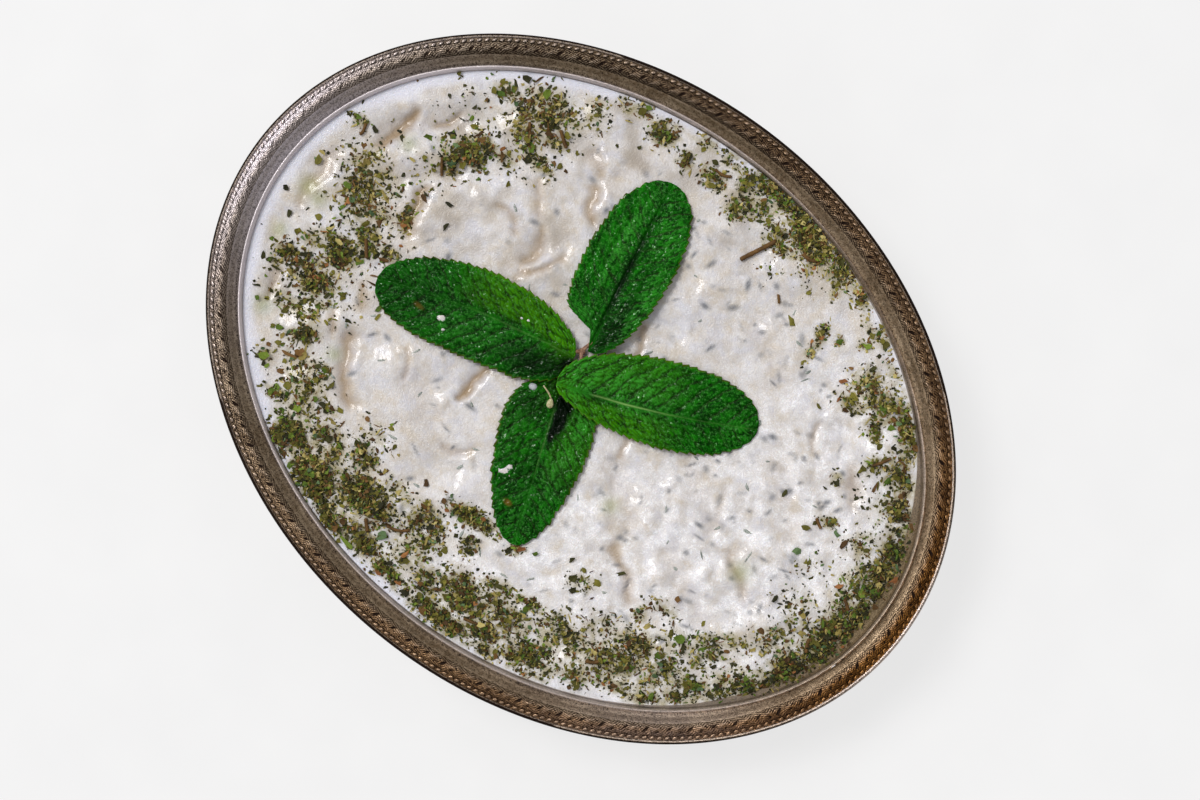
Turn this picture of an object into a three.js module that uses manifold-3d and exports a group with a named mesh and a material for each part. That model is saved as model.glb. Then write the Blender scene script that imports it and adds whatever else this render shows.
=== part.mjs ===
// Tzatziki dip in a shallow oval metal dish, with a sprig of four mint leaves on top.
// Millimetres, +Z up. The origin is the centre of the flat foot; +X runs along the dish.
import * as THREE from 'three';
import { mergeVertices } from 'three/addons/utils/BufferGeometryUtils.js';
import Module from 'manifold-3d';

// Dish: overall size, then the bands of its rim as distances in from the outer edge.
const DISH_LENGTH = 220;
const DISH_WIDTH = 172.2;
const RIM_HEIGHT = 33;
const METAL = 1.5;
const ROLL_RADIUS = 0.62;
const BEAD_START = 1.2;
const BEAD_END = 2.25;
const ENGRAVED_START = 2.6;
const CROWN = 4;
const ENGRAVED_END = 5.6;
const FLANGE_END = 7.5;
const RIDGE_START = 7.8;
const RIDGE_END = 8.9;
const WELL_START = 9.1;
const FOOT_START = 40;
const UNDERSIDE_BENDS = [7.5, 5.6, 3.6, 1.6];

// The rim's crown: how far it falls to the outer edge and to the well, and how roundly. Then
// how far the rolled edge, the beads and the ridge stand above it, and the step into the well.
const OUTER_FALL = 1.2;
const INNER_FALL = 4.325;
const CROWN_POWER = 1.6;
const ROLL_RISE = 0.5;
const BEAD_RISE = 0.4;
const RIDGE_RISE = 0.5;
const WELL_STEP = 0.55;
const WELL_POWER = 1.35;

// Dip: levels above the table, and how its edge falls towards the metal.
const GAP = 0.3;
const EDGE_LEVEL = 27.5;
const BODY_LEVEL = 27.2;
const LOW_SIDE_DROP = 2;
const LOW_SIDE_ANGLE = -0.1;
const LOW_SIDE_SPREAD = 0.68;
const EDGE_FALL = 9;
const MEAN_RADIUS = 88;
const MARKS_START = 10;
const BED_HALF_WIDTH = 15;
const BED_FLATNESS = 0.9;

// Sprig: a leaf's thickness, its clearance over the dip and how roundly it rises and folds,
// then the cut stem, its petioles and the bud.
const LEAF = 0.6;
const LEAF_CLEARANCE = 0.75;
const LIFT_POWER = 1.3;
const FOLD_POWER = 1.4;
const STEM_RADIUS = 0.95;
const STEM_RISE = 1.7;
const PETIOLE_RADIUS = 0.5;
const BUD_RADIUS = 0.92;
const BUD_LENGTH = 2.8;

// Facets round the oval, up the well, across the dip, and along and across a leaf.
const AROUND = 72;
const DIP_RINGS = 14;
const LEAF_STEPS = 14;
const LEAF_ACROSS = 6;

const HALF_LENGTH = DISH_LENGTH / 2;
const HALF_WIDTH = DISH_WIDTH / 2;
const WELL_TOP = crownHeight(WELL_START) - WELL_STEP;
const FLOOR_TOP = METAL;

// Strokes left by the spoon: a groove from one point to another with a lip along its left side.
const SPOON_STROKES = [
  { from: [-88, 23], to: [-68, 38], width: 3.6, depth: 1.0 },
  { from: [-78, 12], to: [-62, 26], width: 2.6, depth: 0.8 },
  { from: [-33, 26], to: [-36, 12], width: 3.2, depth: 0.9 },
  { from: [-33, 42], to: [-24, 60], width: 3.0, depth: 0.6 },
  { from: [-12, 34], to: [-2, 44], width: 2.8, depth: 0.6 },
  { from: [-24, -19], to: [-24, -9], width: 2.0, depth: 0.7 },
  { from: [-40, -24], to: [-24, -34], width: 3.4, depth: 0.6 },
  { from: [18, -8], to: [34, -22], width: 3.4, depth: 0.8 },
  { from: [30, 8], to: [52, -8], width: 3.0, depth: 0.7 },
  { from: [44, -20], to: [66, -30], width: 3.2, depth: 0.8 },
  { from: [52, 20], to: [72, 2], width: 3.4, depth: 0.7 },
  { from: [24, 44], to: [44, 34], width: 2.8, depth: 0.6 },
];

// Broad lumps of the dip: wavelength along X and Y, phase and height of each wave.
const DIP_WAVES = [
  { x: 31, y: 47, phase: 0.4, height: 0.28 },
  { x: -23, y: 29, phase: 2.1, height: 0.22 },
  { x: 17, y: -21, phase: 4.4, height: 0.16 },
];

// Leaves: base and tip in plan, sideways bow, widths and fullness of each half (left of base-to-tip
// first), then the height of the base over the dip, the arch between, and each half's fold.
const LEAVES = {
  leaf_left: {
    base: [-6.5, 5.5], tip: [-62.1, -11], bow: -1.86, halves: [13.2, 12.2],
    baseFullness: [7.6, 3.8], tipFullness: [5.3, 4.4], lift: 1.9, arch: 1.5, fold: [-0.9, -0.7],
  },
  leaf_upper: {
    base: [-4.8, 9], tip: [-15, 59.3], bow: 0.5, halves: [12.9, 13.1],
    baseFullness: [6.5, 2.9], tipFullness: [4.8, 4.7], lift: 1.9, arch: 0, fold: [1.7, 1.9],
  },
  leaf_right: {
    base: [-6.3, -2.9], tip: [44.5, 21.4], bow: -1.6, halves: [15.4, 12.8],
    baseFullness: [3.9, 1.3], tipFullness: [4.2, 3.2], lift: 3.3, arch: 0.6, fold: [-0.7, 0],
  },
  leaf_lower: {
    base: [-5.2, -1], tip: [12.1, -44.5], bow: -0.2, halves: [13.7, 14.1],
    baseFullness: [8, 8], tipFullness: [1.9, 2.3], lift: 0.1, arch: 0.4, fold: [0.5, -0.1],
  },
};
const STEM_PLACE = [-6.3, 8.1];
const PETIOLE_ENDS = [[-9.4, 5.6], [-5.2, 11], [-4.4, 5.6]];
const BUD_PLACE = [-4.1, -8.2];
const BUD_CLEARANCE = 1.9;

const wasm = await Module();
wasm.setup();

function smooth(x) {
  const u = Math.min(1, Math.max(0, x));
  return u * u * (3 - 2 * u);
}

// Height of the rim's rounded crown at a distance in from the outer edge: from its top it
// falls by a power of the distance, gently outwards and deeply inwards.
function crownHeight(inward) {
  const outside = Math.max(CROWN - inward, 0) / CROWN;
  const inside = Math.max(inward - CROWN, 0) / (WELL_START - CROWN);
  return RIM_HEIGHT - OUTER_FALL * outside ** CROWN_POWER - INNER_FALL * inside ** CROWN_POWER;
}

// The point at a distance in from the outer oval, along the oval's normal.
function ovalPoint(angle, inward) {
  const nx = Math.cos(angle) / HALF_LENGTH;
  const ny = Math.sin(angle) / HALF_WIDTH;
  const k = inward / Math.hypot(nx, ny);
  return [HALF_LENGTH * Math.cos(angle) - k * nx, HALF_WIDTH * Math.sin(angle) - k * ny];
}

// How far in from the outer edge the well's inside lies at a height.
function wellInward(z) {
  const left = (z - FLOOR_TOP) / (WELL_TOP - FLOOR_TOP);
  return WELL_START + (FOOT_START - WELL_START) * (1 - left ** (1 / WELL_POWER));
}

// The well's inside from its top to its floor, as distances in and heights.
function wellProfile() {
  return [0, 0.16, 0.34, 0.54, 0.74, 0.9, 1].map((u) => [
    WELL_START + (FOOT_START - WELL_START) * u,
    FLOOR_TOP + (WELL_TOP - FLOOR_TOP) * (1 - u) ** WELL_POWER,
  ]);
}

// The well's outside: the inside moved out by the metal's thickness, down to a flat foot.
function wellOutside() {
  const inside = wellProfile();
  return inside.slice(0, -1).map(([d, z], i) => {
    const [nextD, nextZ] = inside[i + 1];
    const run = Math.hypot(nextD - d, nextZ - z);
    const out = METAL / run;
    return [d + (nextZ - z) * out, Math.max(0, z - (nextD - d) * out)];
  });
}

// The dish's section from the foot, up the outside, over the rim and down the inside.
function dishSection() {
  const rollMiddle = crownHeight(ROLL_RADIUS) + ROLL_RISE - ROLL_RADIUS;
  const roll = [-90, -35, 20, 70, 110].map((degrees) => {
    const a = THREE.MathUtils.degToRad(degrees);
    return [ROLL_RADIUS - ROLL_RADIUS * Math.cos(a), rollMiddle + ROLL_RADIUS * Math.sin(a)];
  });
  const onCrown = (inward) => [inward, crownHeight(inward)];
  const beadMiddle = (BEAD_START + BEAD_END) / 2;
  const ridgeMiddle = (RIDGE_START + RIDGE_END) / 2;
  return [
    [FOOT_START, 0],
    ...wellOutside().reverse(),
    ...UNDERSIDE_BENDS.map((inward) => [inward, crownHeight(inward) - METAL]),
    ...roll,
    onCrown(BEAD_START),
    [beadMiddle, crownHeight(beadMiddle) + BEAD_RISE],
    onCrown(BEAD_END),
    onCrown(ENGRAVED_START),
    onCrown(CROWN),
    onCrown(ENGRAVED_END),
    onCrown(FLANGE_END),
    onCrown(RIDGE_START),
    [ridgeMiddle, crownHeight(ridgeMiddle) + RIDGE_RISE],
    onCrown(RIDGE_END),
    ...wellProfile(),
  ];
}

// Rings of points joined into one closed skin, with a middle point at each end.
function closedFromRings(rings, firstMiddle, lastMiddle) {
  const count = rings[0].length;
  const points = rings.flat();
  const triangles = [];
  for (let r = 0; r + 1 < rings.length; r++) {
    for (let i = 0; i < count; i++) {
      const a = r * count + i;
      const b = r * count + ((i + 1) % count);
      triangles.push(a, b, b + count, a, b + count, a + count);
    }
  }
  const first = points.push(firstMiddle) - 1;
  const last = points.push(lastMiddle) - 1;
  const lastRing = (rings.length - 1) * count;
  for (let i = 0; i < count; i++) {
    const next = (i + 1) % count;
    triangles.push(first, next, i);
    triangles.push(last, lastRing + i, lastRing + next);
  }
  const geometry = new THREE.BufferGeometry();
  geometry.setAttribute('position', new THREE.Float32BufferAttribute(points.flat(), 3));
  geometry.setIndex(triangles);
  return geometry;
}

function ring(makePoint) {
  return Array.from({ length: AROUND }, (_, i) => makePoint((i / AROUND) * 2 * Math.PI));
}

function dishGeometry() {
  const rings = dishSection().map(([d, z]) => ring((angle) => [...ovalPoint(angle, d), z]));
  return closedFromRings(rings, [0, 0, 0], [0, 0, FLOOR_TOP]);
}

// Height of the dip's edge against the metal: level all round, but lower on one side.
function edgeLevel(angle) {
  const away = Math.atan2(Math.sin(angle - LOW_SIDE_ANGLE), Math.cos(angle - LOW_SIDE_ANGLE));
  return EDGE_LEVEL - LOW_SIDE_DROP * Math.exp(-((away / LOW_SIDE_SPREAD) ** 4));
}

// The dip's level without its spoon marks: the edge level rising or falling to the body's.
function restLevel(x, y) {
  const a = HALF_LENGTH - WELL_START;
  const b = HALF_WIDTH - WELL_START;
  const edge = edgeLevel(Math.atan2(y / b, x / a));
  const inward = MEAN_RADIUS * Math.max(0, 1 - Math.hypot(x / a, y / b));
  return edge + (BODY_LEVEL - edge) * (1 - Math.exp(-inward / EDGE_FALL));
}

// One spoon stroke: a round groove beside a lower round lip, fading out at both ends.
function strokeHeight({ from, to, width, depth }, x, y) {
  const dx = to[0] - from[0];
  const dy = to[1] - from[1];
  const length = Math.hypot(dx, dy);
  const along = ((x - from[0]) * dx + (y - from[1]) * dy) / length;
  const across = ((y - from[1]) * dx - (x - from[0]) * dy) / length;
  const ends = smooth((along + width) / (2 * width)) * smooth((length + width - along) / (2 * width));
  const groove = Math.exp(-((across / width) ** 2));
  const lip = 0.7 * Math.exp(-(((across - 1.8 * width) / width) ** 2));
  return depth * ends * (lip - groove);
}

// How far a place belongs to the bed under a leaf, from 0 to 1, where the dip is pressed smooth.
function bedShare({ base, tip }, x, y) {
  const dx = tip[0] - base[0];
  const dy = tip[1] - base[1];
  const along = THREE.MathUtils.clamp(
    ((x - base[0]) * dx + (y - base[1]) * dy) / (dx * dx + dy * dy), 0, 1);
  const away = Math.hypot(x - base[0] - along * dx, y - base[1] - along * dy);
  return Math.exp(-((away / BED_HALF_WIDTH) ** 4));
}

function dipHeight(x, y) {
  const a = HALF_LENGTH - WELL_START;
  const b = HALF_WIDTH - WELL_START;
  const inward = MEAN_RADIUS * (1 - Math.hypot(x / a, y / b));
  const strokes = SPOON_STROKES.reduce((sum, stroke) => sum + strokeHeight(stroke, x, y), 0);
  const waves = DIP_WAVES.reduce(
    (sum, w) => sum + w.height * Math.sin(2 * Math.PI * (x / w.x + y / w.y) + w.phase), 0);
  const bed = Math.max(...Object.values(LEAVES).map((leaf) => bedShare(leaf, x, y)));
  return restLevel(x, y) + smooth(inward / MARKS_START) * (1 - BED_FLATNESS * bed) * (strokes + waves);
}

// The dip: up the well with a gap to the metal, then in over its uneven top.
function dipGeometry() {
  const wall = wellProfile().slice(1, -1).reverse();
  const floor = [FOOT_START + GAP, FLOOR_TOP + GAP];
  const rings = [floor, ...wall.map(([d, z]) => [d + GAP, z + GAP])].map(
    ([d, z]) => ring((angle) => [...ovalPoint(angle, d), z]));
  for (let r = 0; r < DIP_RINGS; r++) {
    const share = 1 - r / DIP_RINGS;
    rings.push(ring((angle) => {
      const level = edgeLevel(angle);
      const [x, y] = ovalPoint(angle, wellInward(level) + GAP);
      const z = r === 0 ? level : dipHeight(x * share, y * share);
      return [x * share, y * share, z];
    }));
  }
  return closedFromRings(rings, [0, 0, FLOOR_TOP + GAP], [0, 0, dipHeight(0, 0)]);
}

// A leaf's half width at s from base to tip: rounded at both ends by its two fullness values.
function halfWidth(leaf, s, side) {
  const atBase = 1 - (1 - s) ** leaf.baseFullness[side];
  const atTip = 1 - s ** leaf.tipFullness[side];
  return leaf.halves[side] * Math.sqrt(Math.max(0, atBase * atTip));
}

// The underside of a leaf at s from base to tip and t from one margin (1) to the other (-1).
function leafPoint(leaf, s, t) {
  const side = t > 0 ? 0 : 1;
  const dx = leaf.tip[0] - leaf.base[0];
  const dy = leaf.tip[1] - leaf.base[1];
  const length = Math.hypot(dx, dy);
  const across = leaf.bow * 4 * s * (1 - s) + t * halfWidth(leaf, s, side);
  const x = leaf.base[0] + dx * s - (dy / length) * across;
  const y = leaf.base[1] + dy * s + (dx / length) * across;
  const rise = leaf.lift * (1 - s) ** LIFT_POWER + leaf.arch * Math.sin(Math.PI * s);
  const fold = leaf.fold[side] * Math.abs(t) ** FOLD_POWER * Math.sin(Math.PI * Math.sqrt(s));
  return [x, y, restLevel(x, y) + LEAF_CLEARANCE + rise + fold];
}

function leafGeometry(leaf) {
  const sections = [];
  for (let i = 0; i <= LEAF_STEPS; i++) {
    const s = THREE.MathUtils.clamp((1 - Math.cos((Math.PI * i) / LEAF_STEPS)) / 2, 0.004, 0.997);
    const under = Array.from({ length: LEAF_ACROSS + 1 },
      (_, j) => leafPoint(leaf, s, -1 + (2 * j) / LEAF_ACROSS));
    const over = under.map(([x, y, z]) => [x, y, z + LEAF]).reverse();
    sections.push([...under, ...over]);
  }
  const middle = (s) => {
    const [x, y, z] = leafPoint(leaf, s, 0);
    return [x, y, z + LEAF / 2];
  };
  return closedFromRings(sections, middle(0.002), middle(0.999));
}

function toSolid(geometry) {
  const bare = geometry.clone();
  bare.deleteAttribute('normal');
  bare.deleteAttribute('uv');
  const merged = mergeVertices(bare, 1e-4);
  return new wasm.Manifold(new wasm.Mesh({
    numProp: 3,
    vertProperties: new Float32Array(merged.attributes.position.array),
    triVerts: new Uint32Array(merged.index.array),
  }));
}

function toGeometry(solid) {
  const mesh = solid.getMesh();
  const geometry = new THREE.BufferGeometry();
  geometry.setAttribute('position', new THREE.Float32BufferAttribute(mesh.vertProperties, 3));
  geometry.setIndex(Array.from(mesh.triVerts));
  return geometry;
}

// The sprig's cut stem standing on the dip, with a petiole towards each of the leaves near it.
function stemGeometry() {
  const [x, y] = STEM_PLACE;
  const foot = dipHeight(x, y) + GAP;
  const stub = new THREE.CylinderGeometry(STEM_RADIUS * 0.85, STEM_RADIUS, STEM_RISE, 10);
  stub.rotateX(Math.PI / 2);
  stub.translate(x, y, foot + STEM_RISE / 2);
  const height = foot + STEM_RISE - PETIOLE_RADIUS * 1.3;
  const section = new THREE.Shape();
  section.absarc(0, 0, PETIOLE_RADIUS, 0, 2 * Math.PI);
  const petioles = PETIOLE_ENDS.map(([endX, endY]) => {
    const path = new THREE.LineCurve3(
      new THREE.Vector3(x, y, height), new THREE.Vector3(endX, endY, height + 0.2));
    return new THREE.ExtrudeGeometry(section,
      { extrudePath: path, steps: 2, curveSegments: 4, bevelEnabled: false });
  });
  return toGeometry(petioles.reduce((solid, arm) => solid.add(toSolid(arm)), toSolid(stub)));
}

// The small pale bud that lies on the lower leaf: an egg shape, pointed towards the stem.
function budGeometry() {
  const steps = 7;
  const profile = Array.from({ length: steps + 1 }, (_, i) => {
    const a = (Math.PI * i) / steps;
    const along = (-Math.cos(a) * BUD_LENGTH) / 2;
    return new THREE.Vector2(BUD_RADIUS * Math.sin(a) * (1 - 0.2 * Math.cos(a)), along);
  });
  profile[0].x = 0;
  profile[steps].x = 0;
  const geometry = new THREE.LatheGeometry(profile, 10);
  geometry.rotateZ(THREE.MathUtils.degToRad(-35));
  geometry.translate(BUD_PLACE[0], BUD_PLACE[1],
    restLevel(...BUD_PLACE) + BUD_CLEARANCE + BUD_RADIUS);
  return geometry;
}

function material(color, roughness, metalness) {
  return new THREE.MeshStandardMaterial({ color, roughness, metalness });
}

const part = new THREE.Group();

function addPiece(name, geometry, finish) {
  const mesh = new THREE.Mesh(geometry, finish);
  mesh.name = name;
  part.add(mesh);
}

const metal = material(0x6f6860, 0.35, 1);
const yoghurt = material(0xd8d2c8, 0.35, 0);
const mint = material(0x1f5a17, 0.5, 0);
const stemFinish = material(0x8a6a55, 0.55, 0);
const budFinish = material(0xc9c4a0, 0.5, 0);

addPiece('dish', dishGeometry(), metal);
addPiece('dip', dipGeometry(), yoghurt);
for (const [name, leaf] of Object.entries(LEAVES)) {
  addPiece(name, leafGeometry(leaf), mint);
}
addPiece('stem', stemGeometry(), stemFinish);
addPiece('bud', budGeometry(), budFinish);

export default part;
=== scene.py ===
"""Tzatziki dip in a shallow oval metal dish: rim ornament, yoghurt, mint sprig and dried mint.

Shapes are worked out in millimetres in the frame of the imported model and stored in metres.
"""

import math

import bpy
import numpy as np
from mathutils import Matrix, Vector


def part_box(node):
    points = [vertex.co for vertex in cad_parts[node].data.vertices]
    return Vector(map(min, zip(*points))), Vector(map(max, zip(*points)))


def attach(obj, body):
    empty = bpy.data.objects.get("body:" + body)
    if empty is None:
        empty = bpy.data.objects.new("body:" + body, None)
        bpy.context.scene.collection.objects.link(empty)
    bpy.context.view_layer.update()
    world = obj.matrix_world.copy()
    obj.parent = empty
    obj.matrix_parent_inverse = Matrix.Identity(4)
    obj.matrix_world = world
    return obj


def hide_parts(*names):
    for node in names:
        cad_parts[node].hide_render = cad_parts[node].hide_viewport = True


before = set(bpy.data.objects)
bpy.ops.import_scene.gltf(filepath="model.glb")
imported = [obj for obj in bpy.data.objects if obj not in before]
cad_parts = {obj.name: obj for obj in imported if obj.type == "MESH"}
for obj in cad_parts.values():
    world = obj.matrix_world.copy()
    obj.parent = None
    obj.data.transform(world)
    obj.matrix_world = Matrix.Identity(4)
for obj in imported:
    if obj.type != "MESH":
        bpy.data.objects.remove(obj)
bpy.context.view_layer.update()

MM = 0.001

# Dish: its oval from the frame, then the bands of its rim as distances in from the outer edge.
DISH_LOW, DISH_HIGH = (np.array(corner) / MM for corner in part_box("dish"))
HALF_LENGTH, HALF_WIDTH, RIM_TOP = DISH_HIGH
METAL = 1.5
ROLL_RADIUS = 0.62
ROLL_RISE = 0.5
ROLL_END = 1.1
BEAD_MIDDLE = 1.72
ENGRAVED_START, ENGRAVED_END = 2.3, 5.6
PLAIN_START, PLAIN_END = 5.3, 7.45
RIDGE_FOOT, RIDGE_MIDDLE, RIDGE_END = 7.5, 8.2, 8.6
GUTTER_START = 8.65
WELL_START = 9.1
FOOT_START = 40.0
WELL_LENGTH, WELL_WIDTH = HALF_LENGTH - WELL_START, HALF_WIDTH - WELL_START
# The rim's relief over its crown: distance in and rise.
RIM_RELIEF = [
    (1.2, -0.1), (1.4, -0.16), (2.05, -0.16), (2.2, -0.22), (2.35, -0.3), (3.2, -0.32),
    (4.4, -0.32), (5.1, -0.3), (5.4, -0.12), (5.6, -0.05), (6.1, 0.0), (6.8, 0.02), (7.4, 0.0),
    (7.6, -0.1), (7.72, -0.12), (7.82, 0.08), (7.95, 0.34), (8.2, 0.46), (8.45, 0.34), (8.6, 0.02),
    (8.72, -0.3), (8.93, -0.5), (9.04, -0.56)]
DEEPEST_RELIEF = 0.9
DARK_DEPTH = 0.34
CROWN = 4.0
OUTER_FALL, INNER_FALL = 1.2, 4.325
CROWN_POWER = 1.6
WELL_STEP = 0.55
WELL_POWER = 1.35
FLOOR_TOP = METAL
WELL_SHARES = np.append(np.linspace(0, 0.2, 7), np.linspace(0.26, 1, 15))
# Bearings round the oval: the side where the dip stands high, the low one and the upper one.
HIGH_SIDE, LOW_SIDE, UPPER_SIDE = math.pi, -0.1, 1.05

BEADS = 300
BEAD_HALF_SIZES = (0.86, 0.46, 0.36)
BEAD_SLANT = math.radians(24)
MOTIFS = 50
MOTIF_LENGTH = 12.4
ENGRAVED_COLUMNS, ENGRAVED_ROWS = 3000, 26
ENGRAVED_RISE, STRIP_DEPTH = 0.17, 0.7
DISH_COLUMNS = 720
OVAL_STEPS = 7201
# Pits of one motif: share along it, distance in, half length, half width, turn, depth.
PITS = [(0.02, 4.0, 0.85, 0.27, 42, 1.0), (0.27, 3.35, 0.4, 0.24, 20, 0.6),
        (0.55, 4.15, 0.7, 0.22, 36, 0.75), (0.8, 3.2, 0.36, 0.24, 60, 0.5),
        (0.36, 4.5, 0.6, 0.14, -38, 0.45), (0.9, 4.7, 0.6, 0.14, -32, 0.45)]
# Raised strokes of one motif: share along it, distance in, half length, turn, bend.
PLUMES = [(0.2, 3.9, 2.3, 19, 0.05), (0.24, 4.4, 2.0, 14, 0.05), (0.16, 3.3, 1.6, 27, 0.1),
          (0.7, 4.0, 2.0, 21, 0.06), (0.74, 4.5, 1.7, 15, 0.05), (0.66, 3.4, 1.4, 30, 0.1),
          (0.42, 3.2, 0.9, -38, 0.1), (0.92, 4.7, 0.9, -36, 0.1)]

# Dip: levels above the table, and how its edge falls towards the metal.
EDGE_LEVEL = 27.5
BODY_LEVEL = 27.2
LOW_SIDE_DROP, LOW_SIDE_SPREAD = 2.0, 0.68
HIGH_SIDE_RISE, HIGH_SIDE_SPREAD = 0.6, 1.5
EDGE_FALL = 9.0
MEAN_RADIUS = 88.0
CLIMB, CLIMB_WIDTH = 0.5, 1.0
BED_HALF_WIDTH = 15.0
BED_FLATNESS = 0.9
DIP_SIDE = 281
WALL_OVERLAP = 0.12
SKIRT_DROPS = (2.5, 8.0, 16.0)

# Strokes left by the spoon: start, end, width and depth of a groove with a lip on its left.
SPOON_STROKES = [
    ((-88, 23), (-68, 38), 3.6, 1.0), ((-78, 12), (-62, 26), 2.6, 0.8),
    ((-33, 26), (-36, 12), 3.2, 0.9), ((-33, 42), (-24, 60), 3.0, 0.6),
    ((-12, 34), (-2, 44), 2.8, 0.6), ((-24, -19), (-24, -9), 2.0, 0.7),
    ((-40, -24), (-24, -34), 3.4, 0.6), ((18, -8), (34, -22), 3.4, 0.8),
    ((30, 8), (52, -8), 3.0, 0.7), ((44, -20), (66, -30), 3.2, 0.8), ((52, 20), (72, 2), 3.4, 0.7),
    ((24, 44), (44, 34), 2.8, 0.6),
]
# Narrow creases of the thick yoghurt: the same, with a sideways bow after the end point.
CREASES = [
    ((-82, 33), (-85, 16), 1.2, 1.7, 1.0), ((-72, 38.5), (-75, 31), 0.4, 1.1, 0.8),
    ((-66.5, 18), (-63.2, 2), -1.2, 1.9, 1.1), ((-36, 28), (-33, 17), 0.8, 1.5, 0.7),
    ((-33, 20), (-31, 10), -0.6, 1.3, 0.5), ((-31, 46), (-25, 37), -1.0, 1.5, 0.8),
    ((-39, 53), (-31, 47), 0.8, 1.6, 0.5), ((-25, 26), (-33, 14), 1.0, 1.2, 0.7),
    ((2, 25), (6, 15), 0.6, 1.2, 0.8), ((-23.2, -11), (-25, -23.5), 0.6, 1.1, 1.1),
    ((-58, -27), (-45, -44), -2.2, 2.0, 0.8), ((-65, -14), (-60, -21), -0.5, 1.2, 0.8),
    ((-93, 9), (-92, -8), 0.8, 2.0, 0.6), ((-84, -24), (-82, -35), -0.8, 1.6, 0.6),
    ((-68, -24), (-62, -31), 0.6, 1.4, 0.6), ((-45, -20), (-39, -28), 0.5, 1.0, 0.5),
    ((18.5, -3), (20, -9), 0.2, 1.0, 0.7), ((22, -14), (30, -27), 1.0, 1.4, 0.3),
    ((60, -8), (71, -18), -1.0, 1.8, 0.6), ((46, 4), (52, -10), 1.2, 1.5, 0.35),
    ((33, -28), (48, -38), 1.0, 1.6, 0.7), ((57, 33), (61, 26), -0.6, 1.2, 0.6),
    ((70, 30), (78, 21), 1.0, 2.0, 0.6), ((-50, 26), (-39, 21), 0.8, 0.9, 0.5),
    ((-44, 38), (-38, 29), -0.8, 1.4, 0.5), ((-12, -31), (-21, -36), 0.8, 1.4, 0.5),
]
# Raised lumps of thicker yoghurt: place, radius and height.
LUMPS = [
    (43, -14, 2.6, 0.7), (37, -17.5, 2.4, 0.7), (57, -17.5, 2.2, 0.8), (55, -4, 2.8, 0.6),
    (48, -26, 2.4, 0.8), (35, -5, 2.2, 0.6), (62, -13, 2.0, 0.5), (58, 36, 2.3, 0.7),
    (78, -16, 3.0, 0.5), (29, -44, 3.2, 0.5), (-53, 24, 2.5, 0.5), (-36, 6, 2.0, 0.5),
    (-64, -26, 3.2, 0.7), (16, -51, 3.4, 0.7), (66, 12, 2.6, 0.5), (-27, -27, 1.8, 0.6),
    (-35, -16, 1.6, 0.5), (2, 46, 2.6, 0.5), (82, 2, 2.4, 0.6),
]
# Broad lumps of the dip: wavelength along X and Y, phase and height of each wave.
DIP_WAVES = [(31, 47, 0.4, 0.28), (-23, 29, 2.1, 0.22), (17, -21, 4.4, 0.16)]
# Cucumber in the dip: stains under its skin and their reach, green spots, slivers on top.
SUNK_SHREDS, SUNK_REACH = 520, (97, 74)
GREEN_SPOTS = [(-92, -3, 3.2), (-58.5, -34.5, 2.2), (26, -20, 2.4), (-78, 23, 2.2),
               (-91, -17, 2.4), (-82, -36, 2.6), (65, -12, 3.0), (-88, -4, 2.5)]
SLIVERS, SLIVER_REACH = 64, (94, 71)

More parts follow.
